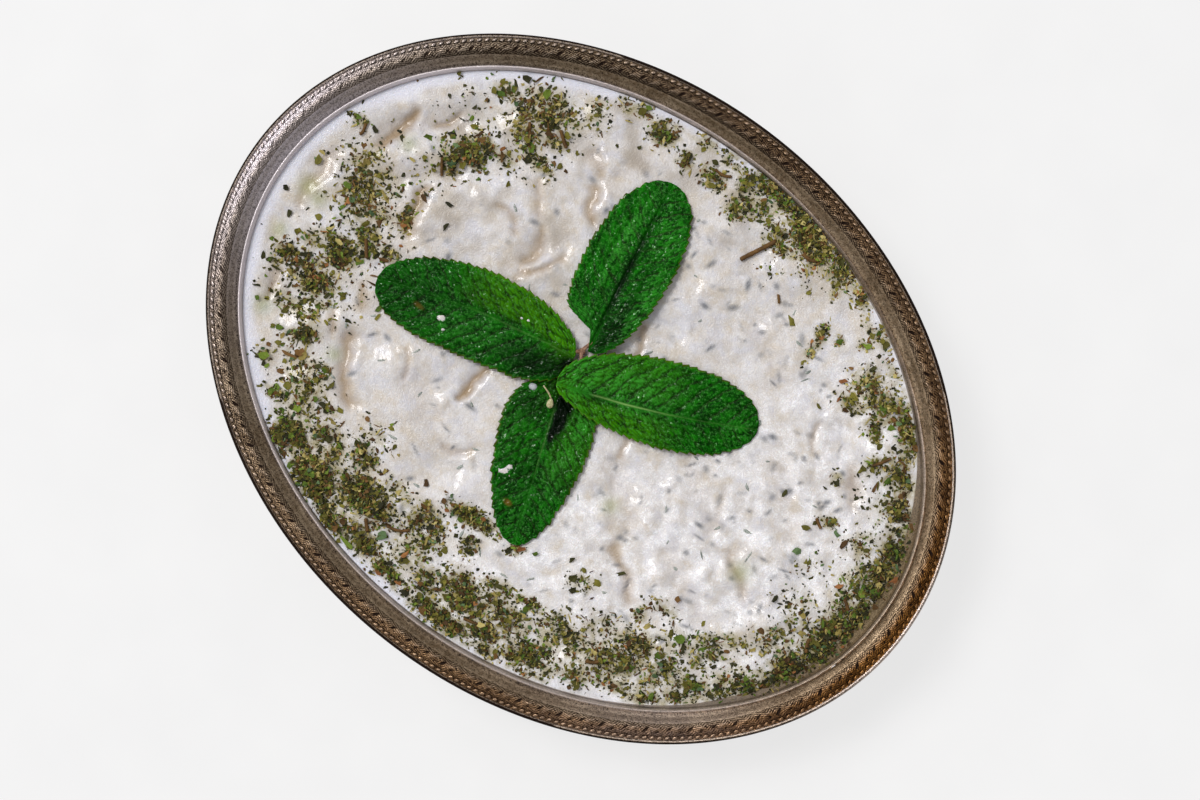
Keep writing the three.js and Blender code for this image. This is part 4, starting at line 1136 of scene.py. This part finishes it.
def make_dip(yoghurt):
    """The dip's top on a square grid bent to a disc, x = u sqrt(1 - v^2 / 2), stretched to the
    line where it meets the metal, then a skirt down inside the wall to a flat underside."""
    n = DIP_SIDE
    u, v = np.meshgrid(np.linspace(-1, 1, n), np.linspace(-1, 1, n), indexing="ij")
    disc_x, disc_y = u * np.sqrt(1 - v * v / 2), v * np.sqrt(1 - u * u / 2)
    rho, angle = np.hypot(disc_x, disc_y), np.arctan2(disc_y, disc_x)
    contact = edge_level(angle) + CLIMB * (1 - 0.7 * high_share(angle))
    edge_x, edge_y = oval(angle, np.maximum(well_inward(contact), WELL_START) - WALL_OVERLAP)
    x, y = edge_x * rho, edge_y * rho
    z, crease = dip_fields(x, y)
    inward = MEAN_RADIUS * (1 - rho)
    near_wall = hill(inward, CLIMB_WIDTH, 1.5)
    top = joined(x, y, z + (contact - z) * near_wall).reshape(-1, 3)

    # the outline of the square grid, once round, anticlockwise, and the rings below it
    index = np.arange(n * n).reshape(n, n)
    outline = np.concatenate([index[:-1, 0], index[-1, :-1], index[:0:-1, -1], index[0, :0:-1]])
    around = angle.ravel()[outline]
    levels = [edge_level(around) - drop for drop in SKIRT_DROPS]
    rings = [joined(*oval(around, well_inward(level) + 0.2), level) for level in levels]
    floor = rings[-1] * (0.5, 0.5, 1)
    floor[:, 2] = floor[:, 2].min()
    rings.append(floor)
    points = np.concatenate([top, *rings, [(0, 0, floor[0, 2])]])
    quads = np.stack([index[:-1, :-1], index[1:, :-1], index[1:, 1:], index[:-1, 1:]], axis=-1)
    count = len(outline)
    rows = [outline] + [n * n + k * count + np.arange(count) for k in range(len(rings))]
    skirt = [np.stack([low, np.roll(low, -1), np.roll(high, -1), high], axis=1)
             for high, low in zip(rows[:-1], rows[1:])]
    middle = np.full(count, len(points) - 1)
    base = np.stack([middle, np.roll(rows[-1], -1), rows[-1]], axis=1)
    hidden = np.zeros(len(points) - n * n)
    tints = dip_tints(x, y, crease, inward, angle, near_wall)
    values = {key: np.append(field.ravel(), hidden) for key, field in tints.items()}
    add_piece("dip_surface", points, [quads.reshape(-1, 4), *skirt, base], yoghurt,
              values, replaces="dip")
    return list(values)


# ---------------------------------------------------------------- sprig

def leaf_patches(patches, s, t):
    """The strongest of several soft oval patches of a leaf at each place (s, t)."""
    return np.max([amount * patch(s - patch_s, t - patch_t, reach, spread, 1.2)
                   for patch_s, patch_t, reach, spread, amount in patches], axis=0)


def leaf_skin(leaf, seed):
    """The leaf's two faces on a grid of s from base to tip and t across, with the relief of
    its ribs, curved side veins and the quilted skin between them, and its tints."""
    s = np.linspace(0, 1, LEAF_STEPS)
    s = (0.75 * s + 0.25 * (1 - np.cos(np.pi * s)) / 2)[:, None]
    s = np.clip(s, 0.003, 0.9985)
    t = np.linspace(-1, 1, LEAF_ACROSS)[None]
    side = np.where(t > 0, 0, 1)
    halves, bases, tips, vein_depth, pleats, folds, yellow_side = (
        np.array(leaf[key])[side] for key in (
            "halves", "base_fullness", "tip_fullness", "vein_depth", "pleats", "fold", "yellow"))
    half = halves * np.sqrt((1 - (1 - s) ** bases) * (1 - s ** tips))
    dx, dy = np.subtract(leaf["tip"], leaf["base"])
    length = math.hypot(dx, dy)
    away = np.abs(t)
    out = away * half
    saw = (s * length / TOOTH_PITCH + 0.3 * noise(s * 9, s * 0, 1.0, seed)) % 1.0
    tooth = TOOTH_DEPTH * (saw - 0.5) * smooth((away - 0.7) / 0.3) * smooth(half / 5)
    wobble = 0.45 * noise(s * 14 + 3 * side, t * 0.0, 1.0, seed + 1) * away ** 4
    across = leaf["bow"] * 4 * s * (1 - s) + np.sign(t) * (out + tooth + wobble)
    along = length * s + leaf["set_back"] * smooth(t / 0.5) * hill(s, 0.13, 2)
    x = leaf["base"][0] + (dx * along - dy * across) / length
    y = leaf["base"][1] + (dy * along + dx * across) / length

    # side veins leave the midrib forwards and bend towards the tip; cross veins join them
    bend = 1.2 * noise(x, y, 8.0, seed + 2) + 0.55 * noise(x, y, 2.6, seed + 6)
    run = s * length - VEIN_LEAN * out - VEIN_BEND * out * out + bend
    spacing = length / leaf["veins"]
    phase = run / spacing + 0.5 * side
    off_vein = np.abs(((phase + 0.5) % 1.0) - 0.5) * spacing
    # a shift that looks random from strip to strip: the far decimals of a large sine
    shift = np.sin(12.9898 * np.floor(phase) + 7.1 * side) * 43758.5453 % 1.0
    crossing = out / CROSS_SPACING + shift + 0.35 * noise(x, y, 1.9, seed + 7)
    off_cross = np.abs(((crossing + 0.5) % 1.0) - 0.5) * CROSS_SPACING
    waver = 0.5 * noise(x, y, 2.2, seed + 10)
    cells = cell_edges(run + waver, CELL_STRETCH * out + 40 * side, CELL_SIZE, seed + 3)
    drift = 0.5 * noise(s * 5, 0 * s, 1.0, seed + 8) * smooth(s / 0.2) * np.sign(t)
    rib = hill(out - drift, 0.24 * (1.15 - 0.7 * s), 2)
    veins = hill(off_vein, 0.26, 2) * smooth(out / 1.2)
    body = smooth((out - 0.1) / 0.9) * smooth((1 - away) * half / 1.2)
    vein_valley = (0.35 + 0.65 * vein_depth) * hill(off_vein, 0.36, 2)
    cross_valley = hill(off_cross, 0.34, 2)
    valley = 1 - (1 - vein_valley) * (1 - 0.8 * cross_valley)
    dome = np.sin(np.pi * (phase % 1.0)) ** 0.8
    pillow = smooth(cells / 0.42)
    quilting = QUILT_RISE * (0.45 * dome - 0.6 * valley + 0.2) + CELL_RISE * (pillow - 0.6)
    relief = leaf["quilt"] * body * quilting - 0.3 * rib
    relief = relief + pleats * np.sin(7 * np.pi * away) * np.sin(np.pi * s)
    curl = folds * away ** leaf["fold_power"] * np.sin(np.pi * np.sqrt(s))
    rise = leaf["lift"] * (1 - s) ** 1.3 + leaf["arch"] * np.sin(np.pi * s)
    sway = 0.45 * noise(x, y, 13.0, seed + 4) + 0.25 * noise(x, y, 5.0, seed + 5)
    under = rest_level(x, y) + LEAF_CLEARANCE + rise + curl + sway * smooth(s * 5)
    top = under + LEAF_THICKNESS * (1 - 0.5 * away ** 6) + relief
    bottom = under + 0.6 * (relief + 0.3 * rib) - 0.3 * rib
    patchy = noise(x, y, 3.1, seed + 9)
    rib_on = smooth((s - leaf["rib_start"]) / 0.05) * (1 - 0.85 * smooth((s - 0.35) / 0.35))
    glow = hill(s, 0.12, 2) * hill(out, 5, 2) * (max(leaf["yellow"]) > 0.2)
    dark, painted_sheen = (leaf_patches(leaf[key], s, t) for key in ("painted_shade_patches", "painted_sheen_patches"))
    # Tints: raised is 1 away from the valleys, which take painted shade; the dark patches are
    # painted shade and the sheen patches painted sheen.
    tints = {
        "raised": np.clip(1.05 - (1.05 * vein_valley + 0.2 * cross_valley) * body
                          - 0.68 * (1 - pillow) * body + 0.3 * patchy, 0, 1),
        "painted_sheen": painted_sheen * np.clip(pillow + 0.5 * patchy, 0, 1) * (1 - vein_valley),
        "rib": np.clip(leaf["rib_shade"] * rib_on * rib + 0.06 * veins * body, 0, 1),
        "yellow": np.clip(0.85 * yellow_side * hill(s - 0.3, 0.28)
                          * smooth((away - 0.02) / 0.3) + 0.6 * glow, 0, 1),
        "dark": np.minimum(dark, 1),
        "brown": np.clip(0.45 * smooth((away - 0.95) / 0.05), 0, 1) + 0 * s,
    }
    return x, y, top, bottom, tints


def make_leaf(name, leaf, seed, mint):
    """A leaf closed round its margin: under from right to left, then over and back."""
    x, y, top, bottom, tints = leaf_skin(leaf, seed)
    if name in BROWN_SPOTS:
        cx, cy, long, wide, strength = BROWN_SPOTS[name]
        spot = strength * patch(x - cx, y - cy, long, wide, 2)
        tints["brown"] = np.maximum(tints["brown"], spot)
    rings = np.concatenate([joined(x, y, bottom), joined(x, y, top)[:, ::-1]], axis=1)
    half = LEAF_ACROSS // 2
    ends = [(ring[half] + ring[-1 - half]) / 2 for ring in (rings[0], rings[-1])]
    points, faces = closed_rings(rings, *ends)
    values = {}
    for key, field in tints.items():
        both = np.concatenate([field, field[:, ::-1]], axis=1)
        values[key] = np.append(both.ravel(), (both[0, 0], both[-1, 0]))
    add_piece(name + "_blade", points, faces, mint, values, replaces=name)


def tube(path, radii, around=12):
    """Points and faces of a closed round tube: rings square to the path, with domed ends."""
    ahead = np.gradient(path, axis=0)
    ahead /= np.linalg.norm(ahead, axis=1, keepdims=True)
    aside = np.cross(ahead, (0, 0, 1))
    aside /= np.linalg.norm(aside, axis=1, keepdims=True)
    up = np.cross(aside, ahead)
    turn = 2 * np.pi * np.arange(around)[None, :, None] / around
    circle = np.cos(turn) * up[:, None] + np.sin(turn) * aside[:, None]
    return closed_rings(path[:, None] + radii[:, None, None] * circle,
                        path[0] - ahead[0] * radii[0] * 0.4,
                        path[-1] + ahead[-1] * radii[-1] * 0.4)


def merged(shapes):
    """Several closed shapes as one list of points and faces."""
    points, quads, fans, count = [], [], [], 0
    for shape, (four, three) in shapes:
        points.append(shape)
        quads.append(four + count)
        fans.append(three + count)
        count += len(shape)
    return np.concatenate(points), [np.concatenate(quads), np.concatenate(fans)]


def upright_post(path, radii):
    """A closed round post: level rings up a nearly upright path."""
    turn = 2 * np.pi * np.arange(14) / 14
    circle = joined(np.cos(turn), np.sin(turn), 0)
    rings = path[:, None] + radii[:, None, None] * circle
    return closed_rings(rings, path[0], path[-1] + (0, 0, 0.1))


def make_stem(finish):
    """The cut stub standing between the leaves, with three petioles bowed out towards them."""
    x, y = STEM_PLACE
    foot = dip_height(x, y) - 0.4
    heights = np.array([0, 0.5, 1.4, 2.1, 2.35])
    stub = joined(x + 0.2 * heights, y, foot + heights)
    shapes = [upright_post(stub, STEM_RADIUS * np.array([1.15, 1.0, 0.86, 0.8, 0.5]))]
    share = np.linspace(0, 1, 12)
    for end_x, end_y in PETIOLE_ENDS:
        height = foot + 1.7 + 0.6 * np.sin(np.pi * share) + 0.4 * share
        path = joined(x + (end_x - x) * share, y + (end_y - y) * share, height)
        shapes.append(tube(path, 0.62 - 0.2 * share))
    points, faces = merged(shapes)
    add_piece("sprig_stem", points, faces, finish, replaces="stem")


def leaf_top(name, x, y):
    """The height of a leaf's upper face at a place: that of the nearest point of its grid."""
    grid_x, grid_y, top, _, _ = leaf_skin(LEAVES[name], LEAF_SEEDS[name])
    nearest = np.argmin((grid_x - x) ** 2 + (grid_y - y) ** 2)
    return top.ravel()[nearest]


def placed(local, place, turn, height):
    """Points of a shape, turned about its upright and set down at a place and a height."""
    x, y = turned(local[:, 0], local[:, 1], turn)
    return joined(place[0] + x, place[1] + y, height + local[:, 2])


def lying_shape(place, sizes, turn, height, wobble, seed):
    """A rounded lump on a surface: a ball stretched to sizes, turned, its radius uneven."""
    ball, faces = ball_template(18, 10)
    push = 1 + wobble * noise(ball[:, 0] * 2 + ball[:, 2], ball[:, 1] * 2, 1.0, seed)
    return placed(ball * push[:, None] * sizes, place, turn, height), faces


def make_bud(finish):
    """The pale bud on the lower leaf, tapered towards a thin curved stalk."""
    seat = leaf_top("leaf_lower", *BUD_PLACE) + BUD_SIZES[2] * 0.8
    ball, faces = ball_template(20, 14)
    ribs = 1 + 0.06 * np.cos(5 * np.arctan2(ball[:, 2], ball[:, 1]))
    local = ball * BUD_SIZES
    local[:, 1:] *= ((1 - 0.28 * ball[:, 0]) * ribs)[:, None]
    head = (placed(local, BUD_PLACE, BUD_TURN, seat), faces)
    share = np.linspace(0, 1, 10)
    stalk = joined(BUD_PLACE[0] - 0.8 - 3.6 * share + 0.5 * np.sin(np.pi * share),
                   BUD_PLACE[1] + 1.2 + 1.4 * share, seat + 0.3 * share)
    points, all_faces = merged([head, tube(stalk, 0.26 - 0.06 * share, 8)])
    add_piece("pale_bud", points, all_faces, finish, replaces="bud")


def make_spots(yoghurt, water, tint_names):
    """Drops of the dip on two leaves and on the dish's ridge, and one of water."""
    shapes = [lying_shape(place, sizes, turn, leaf_top(name, *place) + 0.1, 0.35, 60 + k)
              for k, (name, place, sizes, turn) in enumerate(LEAF_DROPS)]
    seat = flange_height(8.4) + 0.5
    shapes.append(lying_shape(DISH_DROP, (1.5, 0.9, 0.5), 1.2, seat, 0.25, 71))
    points, faces = merged(shapes)
    add_piece("yoghurt_spots", points, faces, yoghurt,
              {key: np.zeros(len(points)) for key in tint_names})
    level = dip_height(*WATER_DROP) + 1.0
    points, faces = lying_shape(WATER_DROP, (1.25, 1.0, 0.8), 0.3, level, 0.08, 75)
    add_piece("water_drop", points, faces, water)


# ---------------------------------------------------------------- dried mint

def slid_share(x, y):
    """How far a place belongs to the flakes that slid down to the low edge."""
    return (hill(off(bearing(x, y), SLIDE_ANGLE), SLIDE_SPREAD)
            * hill(inward_share(x, y), SLIDE_WIDTH))


def climbing_share(x, y):
    """How far flakes lie up against the metal: on the low side, and on the upper side."""
    return np.maximum(slid_share(x, y), 0.9 * round_share(x, y, 1.12, 0.3))


def herb_cover(x, y):
    """Share of the dip covered at a place: the densest clump there, or the flakes slid down to
    the low edge, broken up by noise."""
    cover = slid_share(x, y)
    for cx, cy, long, wide, turn, share in HERB_CLUMPS:
        p, q = turned(x - cx, y - cy, -math.radians(turn))
        cover = np.maximum(cover, share * patch(p, q, long, wide, 1.5))
    broken = 0.75 + 0.6 * noise(x, y, 4.2, 51) + 0.55 * noise(x, y, 1.7, 52)
    patchy = np.clip(broken + 0.7 * (cover - 0.45), 0, 1.3)
    thinner = 1 - 0.22 * smooth((x - 20) / 30)
    return np.clip(cover * (0.3 + patchy) * thinner, 0, MOST_COVER)


def flake_points(length, width, turn, rng):
    """Crumpled flakes round the origin: an uneven outline of seven corners round two middles a
    little apart, bent along and folded across, then tilted and turned."""
    count = len(length)
    length, width = length[:, None], width[:, None]
    corners = np.arange(FLAKE_CORNERS) * 2 * np.pi / FLAKE_CORNERS
    corners = corners + rng.uniform(-0.3, 0.3, (count, FLAKE_CORNERS))
    reach = rng.uniform(0.45, 1.15, (count, FLAKE_CORNERS))
    px, py = reach * np.cos(corners) * length / 2, reach * np.sin(corners) * width / 2
    bend = rng.uniform(-0.5, 0.5, count)[:, None] * width
    crease = rng.uniform(-0.3, 0.5, count)[:, None] * width
    pz = 0.6 * bend * (2 * px / length) ** 2 + 0.5 * crease * np.abs(py) / width * 2
    thick = rng.uniform(0.07, 0.16, (count, 1))
    middle = np.zeros((count, 2))
    px, py, pz = np.hstack([px, middle]), np.hstack([py, middle]), np.hstack([pz, thick, -thick])
    lean = np.tan(np.clip(rng.normal(0, 0.3, (2, count, 1)), -0.8, 0.8))
    pz = pz + px * lean[0] + py * lean[1]
    ring = np.arange(FLAKE_CORNERS)
    after = (ring + 1) % FLAKE_CORNERS
    above, below = np.full_like(ring, FLAKE_CORNERS), np.full_like(ring, FLAKE_CORNERS + 1)
    faces = np.concatenate([np.stack([above, ring, after], axis=1),
                            np.stack([below, after, ring], axis=1)])
    return (*turned(px, py, turn[:, None]), pz), faces


def metal_height(x, y):
    """Height of the well's inside at a place, its distance in taken along the line to the
    middle."""
    angle, half_way = bearing(x, y), FOOT_START / 2
    outer, inner = np.hypot(*oval(angle, 0.0)), np.hypot(*oval(angle, half_way))
    return well_height(half_way * (outer - np.hypot(x, y)) / (outer - inner))


def inside_dish(x, y, margin):
    """True where a place lies on the dip, a margin in from the metal."""
    angle = bearing(x, y)
    edge = oval(angle, well_inward(edge_level(angle)) + margin)
    return np.hypot(x, y) < np.hypot(*edge)


def thrown(rng, tries):
    """Random places over the whole dish."""
    return [rng.uniform(-reach, reach, tries) for reach in HERB_REACH]


def make_dried_mint(finishes):
    """The scattered dried mint, one piece for each kind: flakes thrown over the dip and kept
    where the clumps lie, larger ones fewer, heaped a little where they are thick."""
    rng = np.random.default_rng(HERB_SEED)
    most = -math.log(1 - MOST_COVER) / FLAKE_AREA
    tries = int(most * 4 * HERB_REACH[0] * HERB_REACH[1])
    x, y = thrown(rng, tries)
    cover = herb_cover(x, y)
    wanted = -np.log(1 - cover) / FLAKE_AREA
    climb = climbing_share(x, y) * rng.exponential(1.1, tries)
    keep = (rng.uniform(0, most, tries) < wanted) & inside_dish(x, y, 0.3 - climb)
    x, y, cover = x[keep], y[keep], cover[keep]
    count = len(x)
    length = np.clip(rng.lognormal(0.0, 0.46, count), 0.35, 3.4)
    length = length * (1 + 0.2 * smooth((-x - 30) / 30))
    width = length * rng.uniform(0.3, 0.85, count)
    turn = rng.uniform(0, np.pi, count)
    shares, drift, gain, twigs = np.array([row[:4] for row in HERB_KINDS.values()]).T
    shares = (shares + drift * noise(x, y, 16.0, 53)[:, None]
              + 0.9 * gain * round_share(x, y, UPPER_SIDE, 0.4)[:, None])
    shares = np.clip(shares, 0.005, 1)
    shares /= shares.sum(axis=1, keepdims=True)
    kind = (rng.uniform(0, 1, (count, 1)) > np.cumsum(shares, axis=1)).sum(axis=1)
    heap = rng.uniform(0, 1, count) ** 1.5 * 1.5 * smooth((cover - 0.45) / 0.5)
    twig = rng.uniform(0, 1, count) < twigs[kind]
    length, width = np.where(twig, 1.5 * length, length), np.where(twig, 0.45 * width, width)
    flakes = np.stack([x, y, length, width, turn, heap], axis=1)
    for k, name in enumerate(HERB_KINDS):
        large = [(*row[:4], math.radians(row[4]), PIECE_HEIGHT)
                 for row in HERB_PIECES if row[5] == name]
        mine = np.concatenate([flakes[kind == k], np.reshape(large, (-1, 6))])
        fx, fy, long, wide, lean, up = mine.T
        (gx, gy, gz), faces = flake_points(long, wide, lean, rng)
        ground = np.maximum(dip_height(fx, fy), metal_height(fx, fy) + 0.1) + up + 0.14
        points = joined(gx + fx[:, None], gy + fy[:, None], gz + ground[:, None])
        # Painted shade on the flakes slid against the wall on the low side; lighter flakes on the
        # upper side.
        dim = 1 - 0.75 * slid_share(fx, fy) + 0.9 * round_share(fx, fy, UPPER_SIDE, 0.35)
        tint = np.clip(rng.uniform(0, 1, len(mine)) ** 1.3 * dim, 0, 1)
        add_piece("dried_mint_" + name, points.reshape(-1, 3),
                  [repeated(faces, FLAKE_CORNERS + 2, len(mine))], finishes[name],
                  {"tint": np.repeat(tint, FLAKE_CORNERS + 2)}, flat=True)


def make_stalks(finish):
    """Dried stalks lying on the dip: bent tubes with knots."""
    shapes = []
    share = np.linspace(0, 1, 14)
    for k, (start, end, radius) in enumerate(STALKS):
        bow = 0.5 * math.sin(2.3 * k) * np.sin(np.pi * share)
        x = start[0] + (end[0] - start[0]) * share + bow
        y = start[1] + (end[1] - start[1]) * share - bow
        z = dip_height(x, y) + radius * 0.8 + 0.25
        thick = radius * (1 + 0.22 * noise(share * 9, share * 0 + k, 1.0, 55))
        shapes.append(tube(joined(x, y, z), thick, 8))
    points, faces = merged(shapes)
    tint = 0.5 + 0.5 * noise(points[:, 0], points[:, 1], 2.0, 56)
    add_piece("dried_stalks", points, faces, finish, {"tint": tint})


def make_specks(finish):
    """Dust of dried mint near the clumps: tiny eight-sided grains."""
    rng = np.random.default_rng(HERB_SEED + 1)
    x, y = thrown(rng, SPECK_TRIES)
    cover = herb_cover(x, y)
    chance = 0.35 * (0.06 + 0.55 * np.clip(cover * 1.6, 0, 1)) * (cover > 0.02)
    keep = (rng.uniform(0, 1, SPECK_TRIES) < chance) & inside_dish(x, y, 1.0)
    x, y = x[keep][:MOST_SPECKS], y[keep][:MOST_SPECKS]
    count = len(x)
    radius = np.clip(rng.lognormal(-1.45, 0.4, count), 0.1, 0.55)
    grain = np.array([(1, 0, 0), (0, 1, 0), (-1, 0, 0), (0, -1, 0), (0, 0, 0.6), (0, 0, -0.6)])
    faces = np.array([(0, 1, 4), (1, 2, 4), (2, 3, 4), (3, 0, 4),
                      (1, 0, 5), (2, 1, 5), (3, 2, 5), (0, 3, 5)])
    local = grain[None] * radius[:, None, None] * rng.uniform(0.6, 1.5, (count, 1, 3))
    gx, gy = turned(local[..., 0], local[..., 1], rng.uniform(0, np.pi, count)[:, None])
    gz = (dip_height(x, y) + 0.5 * radius - 0.05)[:, None] + local[..., 2]
    points = joined(gx + x[:, None], gy + y[:, None], gz).reshape(-1, 3)
    add_piece("dried_mint_dust", points, [repeated(faces, 6, count)], finish,
              {"tint": np.repeat(rng.uniform(0, 1, count), 6)}, flat=True)


def make_cucumber(finish):
    """Grated cucumber that breaks the skin of the dip: slivers with their backs just out."""
    rng = np.random.default_rng(91)
    radius = np.sqrt(rng.uniform(0.02, 0.66, SLIVERS))
    turn = rng.uniform(0, 2 * np.pi, SLIVERS)
    px = SLIVER_REACH[0] * radius * np.cos(turn)
    py = SLIVER_REACH[1] * radius * np.sin(turn)
    shapes = []
    for k, (place, level) in enumerate(zip(zip(px, py), dip_height(px, py))):
        sizes = (rng.uniform(0.7, 1.9), rng.uniform(0.28, 0.5), 0.4)
        lean = rng.uniform(0, np.pi)
        shapes.append(lying_shape(place, sizes, lean, level - 0.22, 0.4, 100 + k))
    points, faces = merged(shapes)
    add_piece("cucumber_shreds", points, faces, finish)


# ---------------------------------------------------------------- stage

def make_floor():
    """A wide pale floor just under the foot."""
    mesh = bpy.data.meshes.new("floor")
    reach, level = 4.0, DISH_LOW[2] * MM - 0.0002
    corners = [(-reach, -reach), (reach, -reach), (reach, reach), (-reach, reach)]
    mesh.from_pydata([(x, y, level) for x, y in corners], [], [(0, 1, 2, 3)])
    material, tree, shader, place = start_material("pale_floor")
    soft = mottle(tree, place, 0.01, 0.05, 0.8)
    connect(tree, shader, {
        "Base Color": mixed(tree, soft, colour(104, 104, 104), colour(111, 111, 110)),
        "Emission Color": mixed(tree, soft, colour(219, 219, 219), colour(222, 222, 222)),
        "Emission Strength": 1.0, "Roughness": 0.6})
    mesh.materials.append(material)
    floor = bpy.data.objects.new("floor", mesh)
    bpy.context.scene.collection.objects.link(floor)


def make_world():
    """A room seen from the table: brightest half way up, more so on the window's side, dim
    low down and dim straight overhead."""
    world = bpy.data.worlds.new("soft_room")
    bpy.context.scene.world = world
    world.use_nodes = True
    tree = world.node_tree
    tree.nodes.clear()
    direction = add_node(tree, "ShaderNodeTexCoord").outputs["Generated"]
    parts = add_node(tree, "ShaderNodeSeparateXYZ", inputs={0: direction}).outputs
    low, middle, overhead = (0.2, 0.17, 0.15, 1), (0.74, 0.73, 0.75, 1), (0.14, 0.14, 0.15, 1)
    tint = mixed(tree, ranged(tree, parts["Z"], 0.15, 0.6), low, middle)
    tint = mixed(tree, ranged(tree, parts["Z"], 0.84, 0.96), tint, overhead)
    background = add_node(tree, "ShaderNodeBackground", inputs={
        "Color": tint, "Strength": ranged(tree, parts["X"], -0.8, 0.8, 1.42, 0.66)})
    connect(tree, tree.nodes.new("ShaderNodeOutputWorld"), {"Surface": background.outputs[0]})


def add_sun(name, spread, strength, tint):
    """Daylight from the window's side, its disc a spread wide, in degrees."""
    data = bpy.data.lights.new(name, "SUN")
    data.angle = math.radians(spread)
    data.energy = strength
    data.color = tint
    lamp = bpy.data.objects.new(name, data)
    a, e = math.radians(WINDOW_AZIMUTH), math.radians(WINDOW_ELEVATION)
    away = Vector((math.cos(a) * math.cos(e), math.sin(a) * math.cos(e), math.sin(e)))
    lamp.location = away
    lamp.rotation_euler = away.to_track_quat("Z", "Y").to_euler()
    bpy.context.scene.collection.objects.link(lamp)


def make_camera():
    """The camera over the dish, looking straight down."""
    data = bpy.data.cameras.new("camera")
    data.sensor_width = SENSOR
    data.lens = LENS
    data.clip_start, data.clip_end = 0.05, 20
    camera = bpy.data.objects.new("camera", data)
    camera.location = [value * MM for value in CAMERA_PLACE]
    camera.rotation_euler = (0, 0, CAMERA_TURN)
    bpy.context.scene.collection.objects.link(camera)
    bpy.context.scene.camera = camera


def main():
    """The stage first, then the dish, the dip, the sprig and what is scattered over them."""
    make_camera()
    make_world()
    make_floor()
    add_sun("window", 22, 1.56, (1.0, 0.985, 0.98))
    add_sun("window_pane", 5, 0.14, (1.0, 1.0, 1.0))
    bpy.context.scene.view_settings.view_transform = "Standard"

    make_dish(aged_metal("aged_plate", 2.0, 0.3))
    chased = aged_metal("chased_plate", 2.6, 0.26)
    make_engraving(chased)
    make_beads(chased)

    yoghurt = yoghurt_finish()
    tint_names = make_dip(yoghurt)
    mint = mint_finish()
    for name, leaf in LEAVES.items():
        make_leaf(name, leaf, LEAF_SEEDS[name], mint)
    make_stem(plain_plant_finish("mint_stalk", (96, 62, 44), (168, 132, 104), 0.5))
    make_bud(plain_plant_finish("bud_skin", (142, 134, 78), (206, 200, 160), 0.5))
    make_spots(yoghurt, water_finish(), tint_names)

    finishes = {kind: dried_finish(kind, *row[4:]) for kind, row in HERB_KINDS.items()}
    make_dried_mint(finishes)
    make_stalks(finishes["brown"])
    make_specks(finishes["dark"])
    make_cucumber(plain_plant_finish("cucumber_flesh", (112, 122, 116), (178, 184, 174), 0.25))


main()
